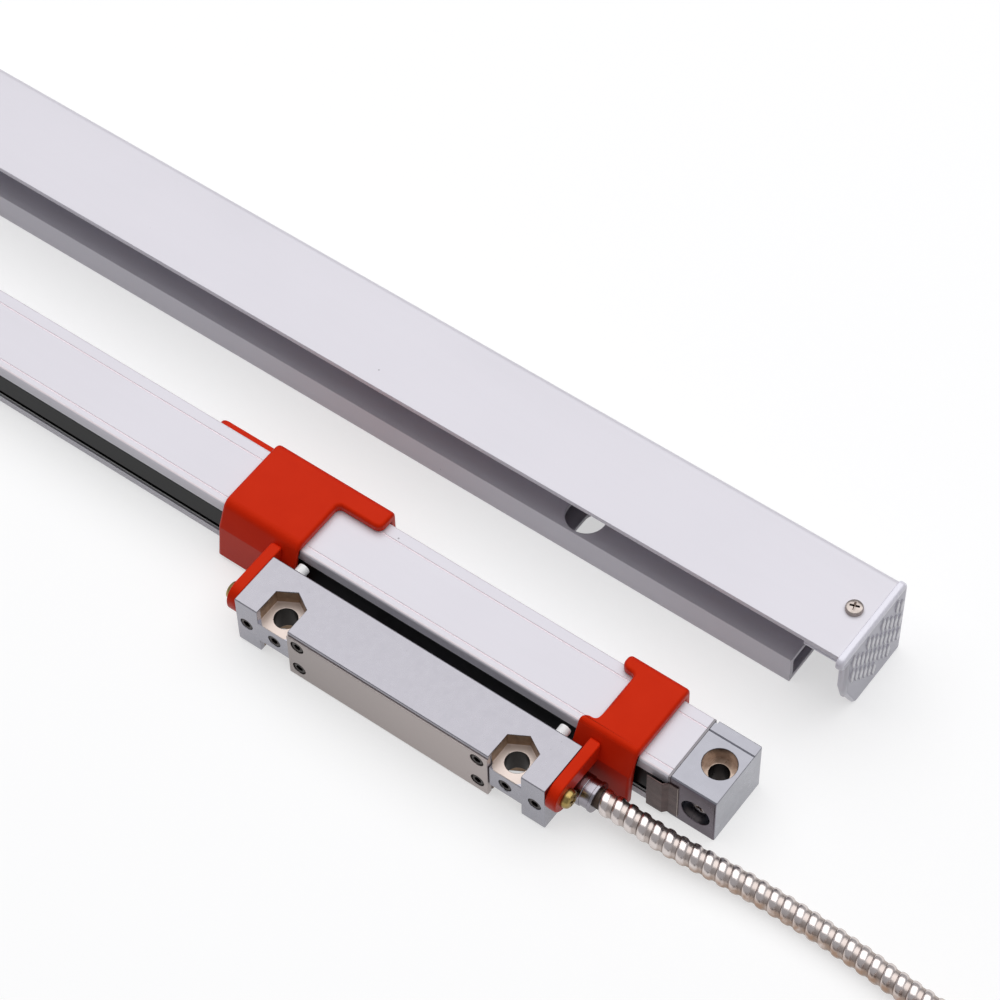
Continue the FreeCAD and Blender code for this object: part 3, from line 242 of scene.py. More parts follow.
# Glass scale: a strip of float glass with a chrome graduation along its middle, held by its far edge in
# the housing with a bead of translucent elastic.
scale_glass = Finish("scale_glass")
row = scale_glass.axis("Y")
band = row.within(-1.6, -1.5) * (1 - row.within(3.4, 3.5))
ruled = (scale_glass.axis("X") * 5.0).maths("FRACT").within(0.45, 0.5) * band
scale_glass.coat(
    Base_Color=scale_glass.mix(ruled, rgb(214, 232, 228), rgb(70, 74, 78)), Metallic=ruled * 0.9,
    Roughness=0.04 + band * 0.1, IOR=1.5, Transmission_Weight=0.6)
wear(scale_glass, "glass_scale")
bond_rubber = Finish("bond_rubber")
skin = bond_rubber.noise(1.5, 3.0)
bond_rubber.coat(
    Base_Color=bond_rubber.mix(skin, rgb(216, 212, 200), rgb(198, 192, 178)), Roughness=0.45,
    Normal=bond_rubber.bump(skin, 0.05))
wear(bond_rubber, "glass_bond_strip")

# Lips: two extruded strips of glossy black nitrile pushed into the jaws of the housing. Their tips meet in
# a V that keeps out dirt and opens only where the blade passes.
lip_rubber = Finish("lip_rubber")
wiped = lip_rubber.noise(0.5, 3.0, stretch=(30, 1, 1))
lip_rubber.coat(
    Base_Color=lip_rubber.mix(wiped, rgb(9, 9, 10), rgb(18, 18, 19)), Roughness=0.24 + wiped * 0.2,
    Specular_IOR_Level=0.3, Normal=lip_rubber.bump(wiped, 0.01))
wear(lip_rubber, "upper_lip_seal", "lower_lip_seal")


# End blocks: milled and bright plated, with a counterbored mounting hole from above, brown inside with its
# through hole painted near black as painted shade, and a recess with a cross-head screw in the near side. A
# thin grey gasket seals each against the housing.
SCALE_MIDDLE = -190.0
BLOCK_TOP = 18.0
BORE_RADIUS = 4.65
HOLE_RADIUS = 2.75


def baked(holder):
    """What the modifiers make of an object, as a plain mesh. The object goes."""
    bpy.context.view_layer.update()
    ready = holder.evaluated_get(bpy.context.evaluated_depsgraph_get())
    mesh = bpy.data.meshes.new_from_object(ready)
    mesh.name = holder.name
    bpy.data.objects.remove(holder)
    return mesh


def piece(name, mesh, body, slot, *stands_for):
    """A finished piece on its body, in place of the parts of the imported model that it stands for."""
    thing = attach(show(name, mesh), body)
    if stands_for:
        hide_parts(*stands_for)
    return thing


def softened(name, mesh, width, finish, rows=2, sharp=30, share=None):
    """A mesh with its sharp outer edges rounded by width millimetres, or by a share of it there."""
    work = bmesh.new()
    work.from_mesh(mesh)
    bmesh.ops.remove_doubles(work, verts=work.verts, dist=0.002 * MM)
    bmesh.ops.dissolve_limit(work, angle_limit=math.radians(0.5), verts=work.verts, edges=work.edges)
    work.verts.index_update()
    plain = bpy.data.meshes.new(name)
    plain.from_pydata([v.co for v in work.verts], [], [[v.index for v in face.verts] for face in work.faces])
    work.free()
    plain.materials.append(finish.material)
    plain.shade_smooth()
    work = bmesh.new()
    work.from_mesh(plain)
    weight = work.edges.layers.float.new("bevel_weight_edge")
    for edge in work.edges:
        if edge.calc_face_angle(0.0) > math.radians(sharp):
            middle = (edge.verts[0].co + edge.verts[1].co) / 2 / MM
            edge[weight] = (share(*middle) if share else 1.0) if edge.is_convex else 0.0
            edge.smooth = edge.is_convex
    work.to_mesh(plain)
    work.free()
    holder = show(name, plain)
    edges = holder.modifiers.new("edges", "BEVEL")
    edges.width = width * MM
    edges.segments = rows
    edges.limit_method = "WEIGHT"
    edges.use_clamp_overlap = False
    edges.harden_normals = True
    return baked(holder)


def from_middle(finish):
    """Millimetres along the scale from its middle, so that both ends get the same."""
    return (finish.axis("X") - SCALE_MIDDLE).maths("ABSOLUTE")


block_metal = Finish("block_metal")
brushed = block_metal.noise(0.5, 3.0, stretch=(1, 12, 1))
blotch = block_metal.noise(3.5, 5.0, roughness=0.65)
depth_row = block_metal.axis("Y")
bolt_reach = from_middle(block_metal) + SCALE_MIDDLE
from_bolt = (bolt_reach * bolt_reach + depth_row * depth_row).maths("SQRT")
top = block_metal.axis("Z").within(BLOCK_TOP - 0.4, BLOCK_TOP - 0.1)
bored = (1 - from_bolt.within(BORE_RADIUS + 0.01, BORE_RADIUS + 0.05)) * (1 - top)
# Painted shade: the top face is darkened towards grey and the near face gets a darker copy of the plating,
# for how the lamp falls on them.
near_face_painted_shade = block_metal.mix(blotch, rgb(112, 103, 112), rgb(94, 87, 94))
block_plating_and_painted_shade = block_metal.mix(blotch, rgb(168, 169, 176), rgb(150, 150, 157))
block_plating_and_painted_shade = block_metal.mix(top * 0.6, block_plating_and_painted_shade, rgb(132, 131, 137))
block_plating_and_painted_shade = block_metal.mix(depth_row.within(-10.35, -10.2), near_face_painted_shade, block_plating_and_painted_shade)
# The counterbore is brown inside, and the through hole is painted near black as painted shade.
bore_brown_and_hole_shade = block_metal.mix(block_metal.noise(1.4, 4.0), rgb(196, 178, 164), rgb(124, 104, 90))
bore_brown_and_hole_shade = block_metal.mix(1 - from_bolt.within(HOLE_RADIUS + 0.03, HOLE_RADIUS + 0.1), bore_brown_and_hole_shade, rgb(40, 30, 26))
block_metal.coat(
    Base_Color=block_metal.mix(bored, block_plating_and_painted_shade, bore_brown_and_hole_shade), Metallic=1.0,
    Roughness=0.20 + blotch * 0.12 + brushed * 0.06, Normal=block_metal.bump(brushed, 0.003))
NEAR_GROOVE = -8.1
# Up minus across, all over the chamfer at the top of the near side, and how much smaller it is drawn
CHAMFER_SPAN = 27.3
CHAMFER_LESS = 0.6
for side in ("right", "left"):
    name = side + "_end_block"
    closed = nodes[name].data.copy()
    for vertex in closed.vertices:
        y, z = vertex.co.yz / MM
        if abs(y - NEAR_GROOVE) < 0.05 and z > 17.6:
            vertex.co.z = BLOCK_TOP * MM
        elif abs(z - y - CHAMFER_SPAN) < 0.02 and y < -9.2:
            vertex.co.z = min(z + CHAMFER_LESS, BLOCK_TOP) * MM
            vertex.co.y = (y if z < BLOCK_TOP - 0.01 else -9.9) * MM
    piece(name + "_eased", softened(name + "_eased", closed, 0.22, block_metal),
          "scale_unit", "block_metal", name)
gasket_rubber = Finish("gasket_rubber")
powder = gasket_rubber.noise(0.4, 2.0)
gasket_rubber.coat(
    Base_Color=gasket_rubber.mix(powder, rgb(168, 164, 168), rgb(150, 146, 150)), Roughness=0.8,
    Normal=gasket_rubber.bump(powder, 0.02))
for side in ("right", "left"):
    name = side + "_end_gasket"
    flush = nodes[name].data.copy()
    for vertex in flush.vertices:
        if abs(vertex.co.y) > 10.2 * MM:
            vertex.co.y = math.copysign(10.42 * MM, vertex.co.y)
        if vertex.co.z > 17.4 * MM:
            vertex.co.z = (BLOCK_TOP - 0.08) * MM
    piece(name + "_sheet", softened(name + "_sheet", flush, 0.05, gasket_rubber, rows=1),
          "scale_unit", "gasket_rubber", name)


# Lip clips: folded from 0.4 mm spring bronze that has gone brown, with a bright cut edge. Each holds down
# the ends of the two lips and hooks round the end block.
def eased(name, width, body, slot, finish, rows=2, share=None):
    """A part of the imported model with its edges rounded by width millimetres."""
    mesh = softened(name + "_eased", nodes[name].data, width, finish, rows, share=share)
    return piece(name + "_eased", mesh, body, slot, name)


clip_bronze = Finish("clip_bronze")
smoke = clip_bronze.noise(2.2, 4.0)
rim = from_middle(clip_bronze).within(184.65, 184.75)
brown = clip_bronze.mix(smoke, rgb(98, 81, 79), rgb(58, 48, 48))
clip_bronze.coat(
    Base_Color=clip_bronze.mix(rim, brown, rgb(190, 178, 168)), Metallic=1.0,
    Roughness=0.16 + smoke * 0.16, Normal=clip_bronze.bump(smoke, 0.03))
for side in ("right", "left"):
    eased(side + "_lip_clip", 0.08, "scale_unit", "nickel", clip_bronze, rows=1)


# Block screws: one nickel-plated cross-head screw deep in the near recess of each end block. They draw the
# blocks against the gaskets.
INPUT_SOCKETS = {float: "NodeSocketFloat", int: "NodeSocketInt"}


class Recipe(Tree):
    """Geometry nodes with named inputs, run on a base mesh and kept as a plain mesh."""

    def __init__(self, name, **inputs):
        super().__init__(bpy.data.node_groups.new(name, "GeometryNodeTree"))
        sockets = self.tree.interface
        sockets.new_socket("Geometry", in_out="INPUT", socket_type="NodeSocketGeometry")
        sockets.new_socket("Geometry", in_out="OUTPUT", socket_type="NodeSocketGeometry")
        for key, value in inputs.items():
            given = sockets.new_socket(key, in_out="INPUT", socket_type=INPUT_SOCKETS[type(value)])
            given.default_value = value
        sockets.new_socket("shape", in_out="INPUT", socket_type="NodeSocketObject")
        sockets.new_socket("finish", in_out="INPUT", socket_type="NodeSocketMaterial")
        self.given = self.tree.nodes.new("NodeGroupInput")
        self.result = self.tree.nodes.new("NodeGroupOutput")

    def take(self, name="Geometry"):
        return Value(self, self.given.outputs[name])

    def vector(self, operation, *values):
        return self.node("ShaderNodeVectorMath", {"operation": operation}, values)

    def scaled(self, vector, factor):
        return self.node("ShaderNodeVectorMath", {"operation": "SCALE"}, {"Vector": vector, "Scale": factor})

    def end(self, geometry):
        """Every recipe ends in real geometry with its material set."""
        real = self.node("GeometryNodeRealizeInstances", values=[geometry])
        self.feed(self.result.inputs[0], self.node("GeometryNodeSetMaterial", values={
            "Geometry": real, "Material": self.take("finish")}))

    def make(self, name, base, **given):
        holder = show(name, base)
        modifier = holder.modifiers.new(name, "NODES")
        modifier.node_group = self.tree
        for item in self.tree.interface.items_tree:
            if item.name in given:
                modifier[item.identifier] = given[item.name]
        return baked(holder)


placed = Recipe("placed", size=1.0)
facing = placed.node("GeometryNodeInputNamedAttribute", {"data_type": "FLOAT_VECTOR"}, {"Name": "facing"})
spin = placed.node("GeometryNodeInputNamedAttribute", {"data_type": "FLOAT"}, {"Name": "spin"})
aimed = placed.node("FunctionNodeAlignRotationToVector", {"axis": "Z"}, {"Vector": facing})
spun = placed.node("FunctionNodeRotateRotation", {"rotation_space": "LOCAL"}, {
    "Rotation": aimed,
    "Rotate By": placed.node("FunctionNodeAxisAngleToRotation", values={"Axis": (0, 0, 1), "Angle": spin})})
pattern = placed.node("GeometryNodeObjectInfo", values={"Object": placed.take("shape")}, output="Geometry")
placed.end(placed.node("GeometryNodeInstanceOnPoints", values={
    "Points": placed.take(), "Instance": pattern, "Rotation": spun, "Scale": placed.take("size")}))


def spread_out(name, pattern_mesh, spots, finish, body, slot, *stands_for):
    """One piece made of the pattern at each (place, direction its +Z faces, turn)."""
    base = bpy.data.meshes.new(name)
    base.from_pydata([Vector(place) * MM for place, facing, turn in spots], [], [])
    aims = base.attributes.new("facing", "FLOAT_VECTOR", "POINT")
    aims.data.foreach_set("vector", [value for place, facing, turn in spots for value in facing])
    turns = base.attributes.new("spin", "FLOAT", "POINT")
    turns.data.foreach_set("value", [turn for place, facing, turn in spots])
    pattern_mesh.shade_smooth()
    pattern_mesh.set_sharp_from_angle(angle=math.radians(32))
    holder = show(name + "_pattern", pattern_mesh)
    mesh = placed.make(name, base, shape=holder, finish=finish.material)
    bpy.data.objects.remove(holder)
    return piece(name, mesh, body, slot, *stands_for)


def turned(name, profile, steps=28):
    """A body turned round Z from (radius, height) pairs, from the middle of its top to that of its foot."""
    work = bmesh.new()
    spots = [work.verts.new((radius * MM, 0, height * MM)) for radius, height in profile]
    for pair in zip(spots, spots[1:]):
        work.edges.new(pair)
    bmesh.ops.spin(work, geom=work.verts[:] + work.edges[:], cent=(0, 0, 0), axis=(0, 0, 1),
                   angle=2 * math.pi, steps=steps, use_merge=True)
    bmesh.ops.remove_doubles(work, verts=work.verts, dist=0.001 * MM)
    bmesh.ops.recalc_face_normals(work, faces=work.faces)
    mesh = bpy.data.meshes.new(name)
    work.to_mesh(mesh)
    work.free()
    return mesh


def prism(name, outline, levels):
    """A closed body on an outline, given the (height, scale of the outline) of each level."""
    work = bmesh.new()
    rings = [[work.verts.new((x * scale * MM, y * scale * MM, height * MM)) for x, y in outline]
             for height, scale in levels]
    work.faces.new(reversed(rings[0]))
    work.faces.new(rings[-1])
    for lower, upper in zip(rings, rings[1:]):
        for i in range(len(outline)):
            j = (i + 1) % len(outline)
            work.faces.new((lower[i], lower[j], upper[j], upper[i]))
    bmesh.ops.recalc_face_normals(work, faces=work.faces)
    mesh = bpy.data.meshes.new(name)
    work.to_mesh(mesh)
    work.free()
    return mesh


def combined(mesh, *steps):
    """A mesh after union with, intersection with or difference from others, in order."""
    holder = show(mesh.name, mesh)
    others = []
    for operation, other in steps:
        others.append(show(other.name, other))
        cut = holder.modifiers.new(operation.lower(), "BOOLEAN")
        cut.operation = operation
        cut.solver = "EXACT"
        cut.object = others[-1]
    result = baked(holder)
    for other in others:
        bpy.data.objects.remove(other)
    return result


def cross_outline(reach, width):
    """A cross of two bars, anticlockwise."""
    quarter = [(reach, -width), (reach, width), (width, width)]
    turns = [(1, 0), (0, 1), (-1, 0), (0, -1)]
    return [(x * c - y * s, x * s + y * c) for c, s in turns for x, y in quarter]


def cross_head(name, radius, height, shank, length):
    """A pan-head screw with a cross recess. Its seat is at height 0."""
    dome = [(0, height), (radius * 0.62, height * 0.97), (radius * 0.86, height * 0.80),
            (radius * 0.97, height * 0.52), (radius, height * 0.2), (radius * 0.98, 0)]
    foot = [(shank, 0), (shank, -length + 0.4), (shank - 0.4, -length), (0, -length)]
    tool = prism(name + "_cross", cross_outline(radius * 0.56, radius * 0.13),
                 [(height - radius * 0.55, 0.45), (height * 1.02, 1.0), (height + 1, 1.05)])
    return combined(turned(name, dome + foot), ("DIFFERENCE", tool))


nickel = Finish("nickel")
worn = nickel.noise(1.2, 4.0)
nickel.coat(
    Base_Color=nickel.mix(worn, rgb(186, 176, 170), rgb(140, 130, 124)), Metallic=1.0,
    Roughness=0.14 + worn * 0.14, Normal=nickel.bump(nickel.noise(0.3, 2.0), 0.004))
block_screw = cross_head("block_screw", 3.1, 2.0, 1.5, 3.0)
block_screw_spots = [((0, -6.5, 8.0), (0, -1, 0), 0.5), ((2 * SCALE_MIDDLE, -6.5, 8.0), (0, -1, 0), 1.1)]
spread_out("cross_block_screws", block_screw, block_screw_spots, nickel,
           "scale_unit", "nickel", "block_screws")

# Mounting rail with roof: one anodised extrusion of C section with a hollow, slotted foot. It stands
# behind the scale unit and later covers it. Its saw cuts are left square.
eased("cover_profile", 0.15, "scale_unit", "anodised", anodised)


# Cover caps: injection-moulded and painted silver, pushed into the ends of the rail. The outer face has a
# field of slender pads in slanting rows inside a plain rounded rim, and a bar lies under the roof's edge.
CAP_FACE = 202.8
CAP_ROW = 51.3
PAD_OUTLINE = [(-0.82, -0.5), (-0.55, -1.7), (-0.2, -2.9), (0.5, -1.3),
               (0.82, 0.5), (0.55, 1.7), (0.2, 2.9), (-0.5, 1.3)]
PAD_COLUMNS = 11
FIRST_COLUMN = 41.4
COLUMN_PITCH = 2.3
TOP_PAD = 25.0
PAD_PITCH = 6.7
COLUMN_DROP = 2.25
LOWEST_PAD = 5.4
FIELD_CORNER = 17.5
FIELD_SLOPE = 2.1
BAR_SECTION = [(37.7, 26.3), (37.7, 27.2), (38.0, 27.35), (37.7, 27.5), (37.7, 28.4),
               (40.2, 28.4), (40.2, 26.3)]


def slab(name, outline, axis, low, high):
    """An outline drawn out along X (given as Y, Z), Y (as X, Z) or Z (as X, Y)."""
    work = bmesh.new()
    ends = []
    for reach in (low, high):
        ends.append([])
        for across, up in outline:
            spot = {"X": (reach, across, up), "Y": (across, reach, up), "Z": (across, up, reach)}[axis]
            ends[-1].append(work.verts.new(Vector(spot) * MM))
    for end in ends:
        work.faces.new(end)
    for i in range(len(outline)):
        j = (i + 1) % len(outline)
        work.faces.new((ends[0][i], ends[0][j], ends[1][j], ends[1][i]))
    bmesh.ops.recalc_face_normals(work, faces=work.faces)
    mesh = bpy.data.meshes.new(name)
    work.to_mesh(mesh)
    work.free()
    return mesh


def cap_share(x, y, z):
    """How much of the full rounding an edge of a cap gets: all of it on the outer face."""
    return 1.0 if abs(x - SCALE_MIDDLE) > CAP_FACE - 0.1 else 0.3


cap_silver = Finish("cap_silver")
flakes = cap_silver.noise(0.12, 2.0)
flow = cap_silver.noise(9.0, 2.0)
inward = (cap_silver.axis("Y") - CAP_ROW).maths("ABSOLUTE")
# Painted shade: the field between the pads on the outer face is darker than the rim.
field = from_middle(cap_silver).within(CAP_FACE - 0.2, CAP_FACE - 0.05) * (1 - inward.within(14.6, 14.9))
field = field * (1 - cap_silver.axis("Z").within(28.8, 29.1))
silver = cap_silver.mix(flow, rgb(226, 224, 234), rgb(236, 234, 244))
cap_silver.coat(
    Base_Color=cap_silver.mix(field, silver, rgb(176, 174, 188)), Metallic=0.12,
    Roughness=0.26 + flakes * 0.10, Normal=cap_silver.bump(flakes, 0.006), Coat_Weight=0.25,
    Coat_Roughness=0.15)
# Painted light: the pads are the cap's own silver paint, made near white to stand for the light on their
# faces.
pad_silver = Finish("pad_silver")
pad_mottle = pad_silver.noise(2.0, 3.0)
pad_silver.coat(
    Base_Color=pad_silver.mix(pad_mottle, rgb(255, 254, 255), rgb(250, 249, 255)),
    Roughness=0.30 + pad_mottle * 0.1, Normal=pad_silver.bump(pad_mottle, 0.01))
pad = prism("pad", PAD_OUTLINE, [(0, 1.0), (0.3, 1.0), (0.45, 0.85)])
for side, way in (("right", 1), ("left", -1)):
    face = SCALE_MIDDLE + way * CAP_FACE
    eased(side + "_cover_cap", 1.1, "scale_unit", "cap_silver", cap_silver, rows=4, share=cap_share)
    pads = []
    for column in range(PAD_COLUMNS):
        y = FIRST_COLUMN + column * COLUMN_PITCH
        for line in range(-1, 5):
            z = TOP_PAD - line * PAD_PITCH - column * COLUMN_DROP % PAD_PITCH
            if z < TOP_PAD + 0.4 and z > max(LOWEST_PAD, FIELD_CORNER - (y - FIRST_COLUMN) * FIELD_SLOPE):
                pads.append(((face - way * 0.05, y, z), (way, 0, 0), math.pi / 2))
    spread_out(side + "_cap_pads", pad, pads, pad_silver, "scale_unit", "cap_silver")
    name = side + "_cap_spigot"
    bar = slab(name, BAR_SECTION, "X", face - way * 2.2, face - way * 13.0)
    piece(name, softened(name, bar, 0.25, cap_silver), "scale_unit", "cap_silver")

# Cover cap screws: a nickel-plated pan-head screw through the roof of the rail holds the tongue of each
# cap that lies under it.
cap_screw = cross_head("cap_screw", 2.5, 1.6, 1.4, 4.5)
cap_screw_spots = [((5.8, 51.9, 30.2), (0, 0, 1), 0.35), ((-385.8, 51.9, 30.2), (0, 0, 1), 1.2)]
spread_out("cross_cap_screws", cap_screw, cap_screw_spots, nickel,
           "scale_unit", "nickel", "cover_cap_screws")

# Reading head body: a milled block under satin chrome, with a hexagonal pocket for a nut and a clearance
# hole at both ends of its top and underside. The pockets are brown on their walls and pale beige on their
# floors, and the clearance holes are painted near black as painted shade.
HEAD_X = -81.0
HEAD_Y = -27.3
HEAD_Z = 9.4
HEAD_HOLES_APART = 75.0
HEAD_HOLE_RADIUS = 3.2
chromed = Finish("chromed")
mottle = chromed.noise(2.6, 6.0, roughness=0.7)
cloud = chromed.noise(14.0, 3.0)
head_plating_and_painted_shade = chromed.mix(mottle.within(0.3, 0.75) * 0.6 + cloud * 0.3, rgb(163, 162, 169), rgb(155, 154, 162))
head_plating_and_painted_shade = chromed.mix(chromed.specks(5.0, 0.16) * 0.7, head_plating_and_painted_shade, rgb(84, 80, 82))
hole_reach = (chromed.axis("X") - HEAD_X).maths("ABSOLUTE") - HEAD_HOLES_APART / 2
hole_depth = chromed.axis("Y") - HEAD_Y
from_hole = (hole_reach * hole_reach + hole_depth * hole_depth).maths("SQRT")
level = (chromed.axis("Z") - HEAD_Z).maths("ABSOLUTE")
# Painted shade: the top and bottom faces are darkened towards grey.
outside = level.within(8.7, 8.85)
head_plating_and_painted_shade = chromed.mix(outside * 0.5, head_plating_and_painted_shade, rgb(139, 136, 140))
# Painted shade: the clearance holes are painted near black inside.
deep = 1 - from_hole.within(HEAD_HOLE_RADIUS + 0.08, HEAD_HOLE_RADIUS + 0.14)
sunk = (1 - from_hole.within(6.4, 6.5)) * (1 - outside) * deep.maths("MAXIMUM", level.within(3.9, 4.05))
pocket_wall_brown = chromed.mix(chromed.noise(1.6, 4.0), rgb(176, 146, 116), rgb(92, 68, 48))
pocket_walls_and_floor = chromed.mix(level.within(4.15, 4.6), rgb(206, 192, 184), pocket_wall_brown)
chromed.coat(
    Base_Color=chromed.mix(sunk * deep, chromed.mix(sunk, head_plating_and_painted_shade, pocket_walls_and_floor), rgb(30, 22, 17)),
    Metallic=1.0 - sunk * 0.3, Roughness=0.20 + mottle * 0.16 + sunk * 0.15,
    Normal=chromed.bump(mottle, 0.006, chromed.bump(chromed.noise(0.25, 2.0), 0.002)))
eased("head_body", 0.22, "reading_head", "chromed", chromed)

# Front plate: satin steel, 1.6 mm thick, let into the near side of the head over a thin gasket. It closes
# the chamber with the circuit board.
plate_steel = Finish("plate_steel")
satin = plate_steel.noise(0.4, 3.0, stretch=(25, 1, 1))
# Painted light: the plate is painted lighter towards its right end.
rightward_painted_light = plate_steel.axis("X").within(-114, -48)
plate_steel.coat(
    Base_Color=plate_steel.mix(rightward_painted_light * 0.7 + satin * 0.3, rgb(152, 144, 142), rgb(178, 168, 165)),
    Metallic=1.0, Roughness=0.30 + satin * 0.10, Normal=plate_steel.bump(satin, 0.004))
eased("head_front_plate", 0.12, "reading_head", "plate_steel", plate_steel, rows=1)
wear(gasket_rubber, "front_plate_gasket")

# Front plate screws: four blackened socket-head screws at the corners of the plate, flush with it.
HEXAGON = [(math.cos(i * math.pi / 3), math.sin(i * math.pi / 3)) for i in range(6)]
dark_steel = Finish("dark_steel")
oiled = dark_steel.noise(0.8, 3.0)
dark_steel.coat(
    Base_Color=dark_steel.mix(oiled, rgb(70, 64, 62), rgb(42, 38, 37)), Metallic=1.0,
    Roughness=0.26 + oiled * 0.2, Normal=dark_steel.bump(oiled, 0.01))


def socket_head(name, radius, height, shank, length, socket, depth):
    """A cylinder-head screw with a hexagonal socket. Its seat is at height 0."""
    profile = [(0, height), (radius - 0.25, height), (radius, height - 0.2), (radius, 0.05),
               (radius - 0.05, 0), (shank, 0), (shank, -length + 0.3), (shank - 0.3, -length), (0, -length)]
    outline = [(x * socket, y * socket) for x, y in HEXAGON]
    tool = prism(name + "_socket", outline, [(height - depth, 0.92), (height - depth + 0.1, 1.0),
                                             (height - 0.1, 1.0), (height + 0.1, 1.15), (height + 1, 1.15)])
    return combined(turned(name, profile), ("DIFFERENCE", tool))


plate_screw = socket_head("plate_screw", 1.9, 0.8, 1.0, 5.0, 1.1, 1.4)
plate_screw_spots = [((HEAD_X + x, -32.3, HEAD_Z + z), (0, -1, 0), turn) for x, z, turn in (
    (-29.1, -5, 0.2), (-29.1, 5, 0.9), (29.1, -5, 0.5), (29.1, 5, 1.3))]
spread_out("socket_plate_screws", plate_screw, plate_screw_spots, dark_steel,
           "reading_head", "dark_steel", "front_plate_screws")

# Side screws: four headless socket screws, just below the near face at the ends of the head. The threads
# of their holes are left open in front of them.
side_screw = socket_head("side_screw", 2.0, 1.9, 1.0, 0.3, 1.15, 1.4)
side_screw_spots = [((HEAD_X + x, -30.7, 9.2), (0, -1, 0), turn) for x, turn in (
    (-46.8, 0.1), (-37.5, 0.8), (37.5, 0.4), (46.8, 1.0))]
spread_out("socket_side_screws", side_screw, side_screw_spots, dark_steel,
           "reading_head", "dark_steel", "head_side_screws")

# Boards: the circuit board in the head's chamber, and the light and sensor boards of the carriage. They
# are green glass laminate with copper tracks under the lacquer.
board = Finish("board")
tracks = board.noise(1.1, 1.0).within(0.52, 0.54)
board.coat(
    Base_Color=board.mix(tracks, rgb(18, 84, 48), rgb(36, 122, 70)), Roughness=0.32,
    Normal=board.bump(tracks, 0.04), Coat_Weight=0.4)
wear(board, "circuit_board", "light_board", "sensor_board")

# Blade: a thin ground steel plate that passes between the lips and carries the head on two screws inside
# the chamber. It ends at the spring wire that pulls the carriage.
spring_steel = Finish("spring_steel")
ground = spring_steel.noise(0.2, 3.0, stretch=(20, 1, 1))
spring_steel.coat(
    Base_Color=spring_steel.mix(ground, rgb(196, 196, 200), rgb(164, 164, 168)), Metallic=1.0,
    Roughness=0.16 + ground * 0.12, Normal=spring_steel.bump(ground, 0.003))
wear(spring_steel, "reader_blade", "coupling_wire")
wear(dark_steel, "blade_screws")

# Scanning carriage: a dark anodised frame that runs along the glass on five miniature ball bearings, with
# the glass reticle over the sensor.
carriage_metal = Finish("carriage_metal")
matt = carriage_metal.noise(0.3, 3.0)
carriage_metal.coat(
    Base_Color=carriage_metal.mix(matt, rgb(74, 74, 80), rgb(98, 98, 104)), Metallic=0.8,
    Roughness=0.45 + matt * 0.1, Normal=carriage_metal.bump(matt, 0.006))
wear(carriage_metal, "carriage_frame")
reticle_glass = Finish("reticle_glass")
lines = (reticle_glass.axis("X") * 4.0).maths("FRACT").within(0.45, 0.5)
reticle_glass.coat(
    Base_Color=reticle_glass.mix(lines, rgb(206, 222, 232), rgb(96, 104, 112)), Roughness=0.05,
    Metallic=lines * 0.8, Transmission_Weight=0.6)
wear(reticle_glass, "scanning_reticle")
wear(spring_steel, "bearing_pins", "face_bearing_left", "face_bearing_right", "face_bearing_middle",
     "edge_bearing_left", "edge_bearing_right")

# Transport brackets: orange-red glass-filled plastic with rounded lobes. They clasp the housing, hold the
# head at its running distance while the set is fitted, and are then taken off.
bracket_red = Finish("bracket_red")
swirl = bracket_red.noise(7.0, 3.0)
skin = bracket_red.noise(0.35, 3.0)
bracket_red.coat(
    Base_Color=bracket_red.mix(swirl, rgb(200, 34, 8), rgb(210, 42, 14)), Roughness=0.34 + skin * 0.12,
    Specular_IOR_Level=0.4, Specular_Tint=(1.0, 0.16, 0.05, 1), Normal=bracket_red.bump(skin, 0.01))


def rounded(corners, steps=6):
    """An outline from (across, up, radius of the corner)."""
    outline = []
    for i, (x, y, radius) in enumerate(corners):
        corner = Vector((x, y))
        back = (Vector(corners[i - 1][:2]) - corner).normalized()
        ahead = (Vector(corners[(i + 1) % len(corners)][:2]) - corner).normalized()
        half = back.angle(ahead) / 2
        middle = corner + (back + ahead).normalized() * (radius / math.sin(half))
        start = (corner + back * (radius / math.tan(half)) - middle).normalized()
        end = (corner + ahead * (radius / math.tan(half)) - middle).normalized()
        for step in range(steps + 1 if radius else 1):
            arm = start.slerp(end, step / steps) if radius else start
            outline.append(tuple(middle + arm * (radius or 1)))
    return outline


left_section, right_section = [rounded([
    (13.0, 20.9, 2.0), (-10.9, 20.9, bend), (-14.4, 13.0, 1.6), (-15.6, 1.2, 0), (-13.4, 1.2, 0),
    (-12.3, 13.0, 0), (-10.8, 18.3, 0), (10.8, 18.3, 0), (10.8, 6.0, 0), (13.0, 6.0, 0)])
    for bend in (3.6, 2.2)]
left_plan = rounded([
    (-152.0, -20, 0), (-126.4, -20, 0), (-126.4, 6.0, 1.4), (-112.4, 6.0, 2.2), (-112.4, 20, 0),
    (-152.0, 20, 0)])
left_tab = rounded([(-172.5, 6.0, 1.5), (-148.0, 6.0, 0), (-148.0, 16.3, 0), (-172.5, 16.3, 3.0)])
left_arm = rounded([
    (-32.6, 8.5, 4.6), (-14.0, 8.5, 0), (-13.0, 13.0, 0), (-12.2, 18.4, 0), (-32.6, 18.4, 4.6)], steps=10)
right_plan = rounded([
    (-35.8, -20, 0), (-17.6, -20, 0), (-17.6, 20, 0), (-36.4, 20, 0), (-36.4, 8.2, 2.2), (-31.8, 8.2, 1.4),
    (-31.8, -8.8, 1.4), (-35.8, -8.8, 2.2)])
right_arm = rounded([
    (-32.9, 8.4, 4.7), (-26.3, 8.4, 0.6), (-26.3, 12.6, 0.6), (-14.4, 12.6, 0), (-12.2, 18.4, 0),
    (-32.9, 18.4, 4.7)], steps=10)
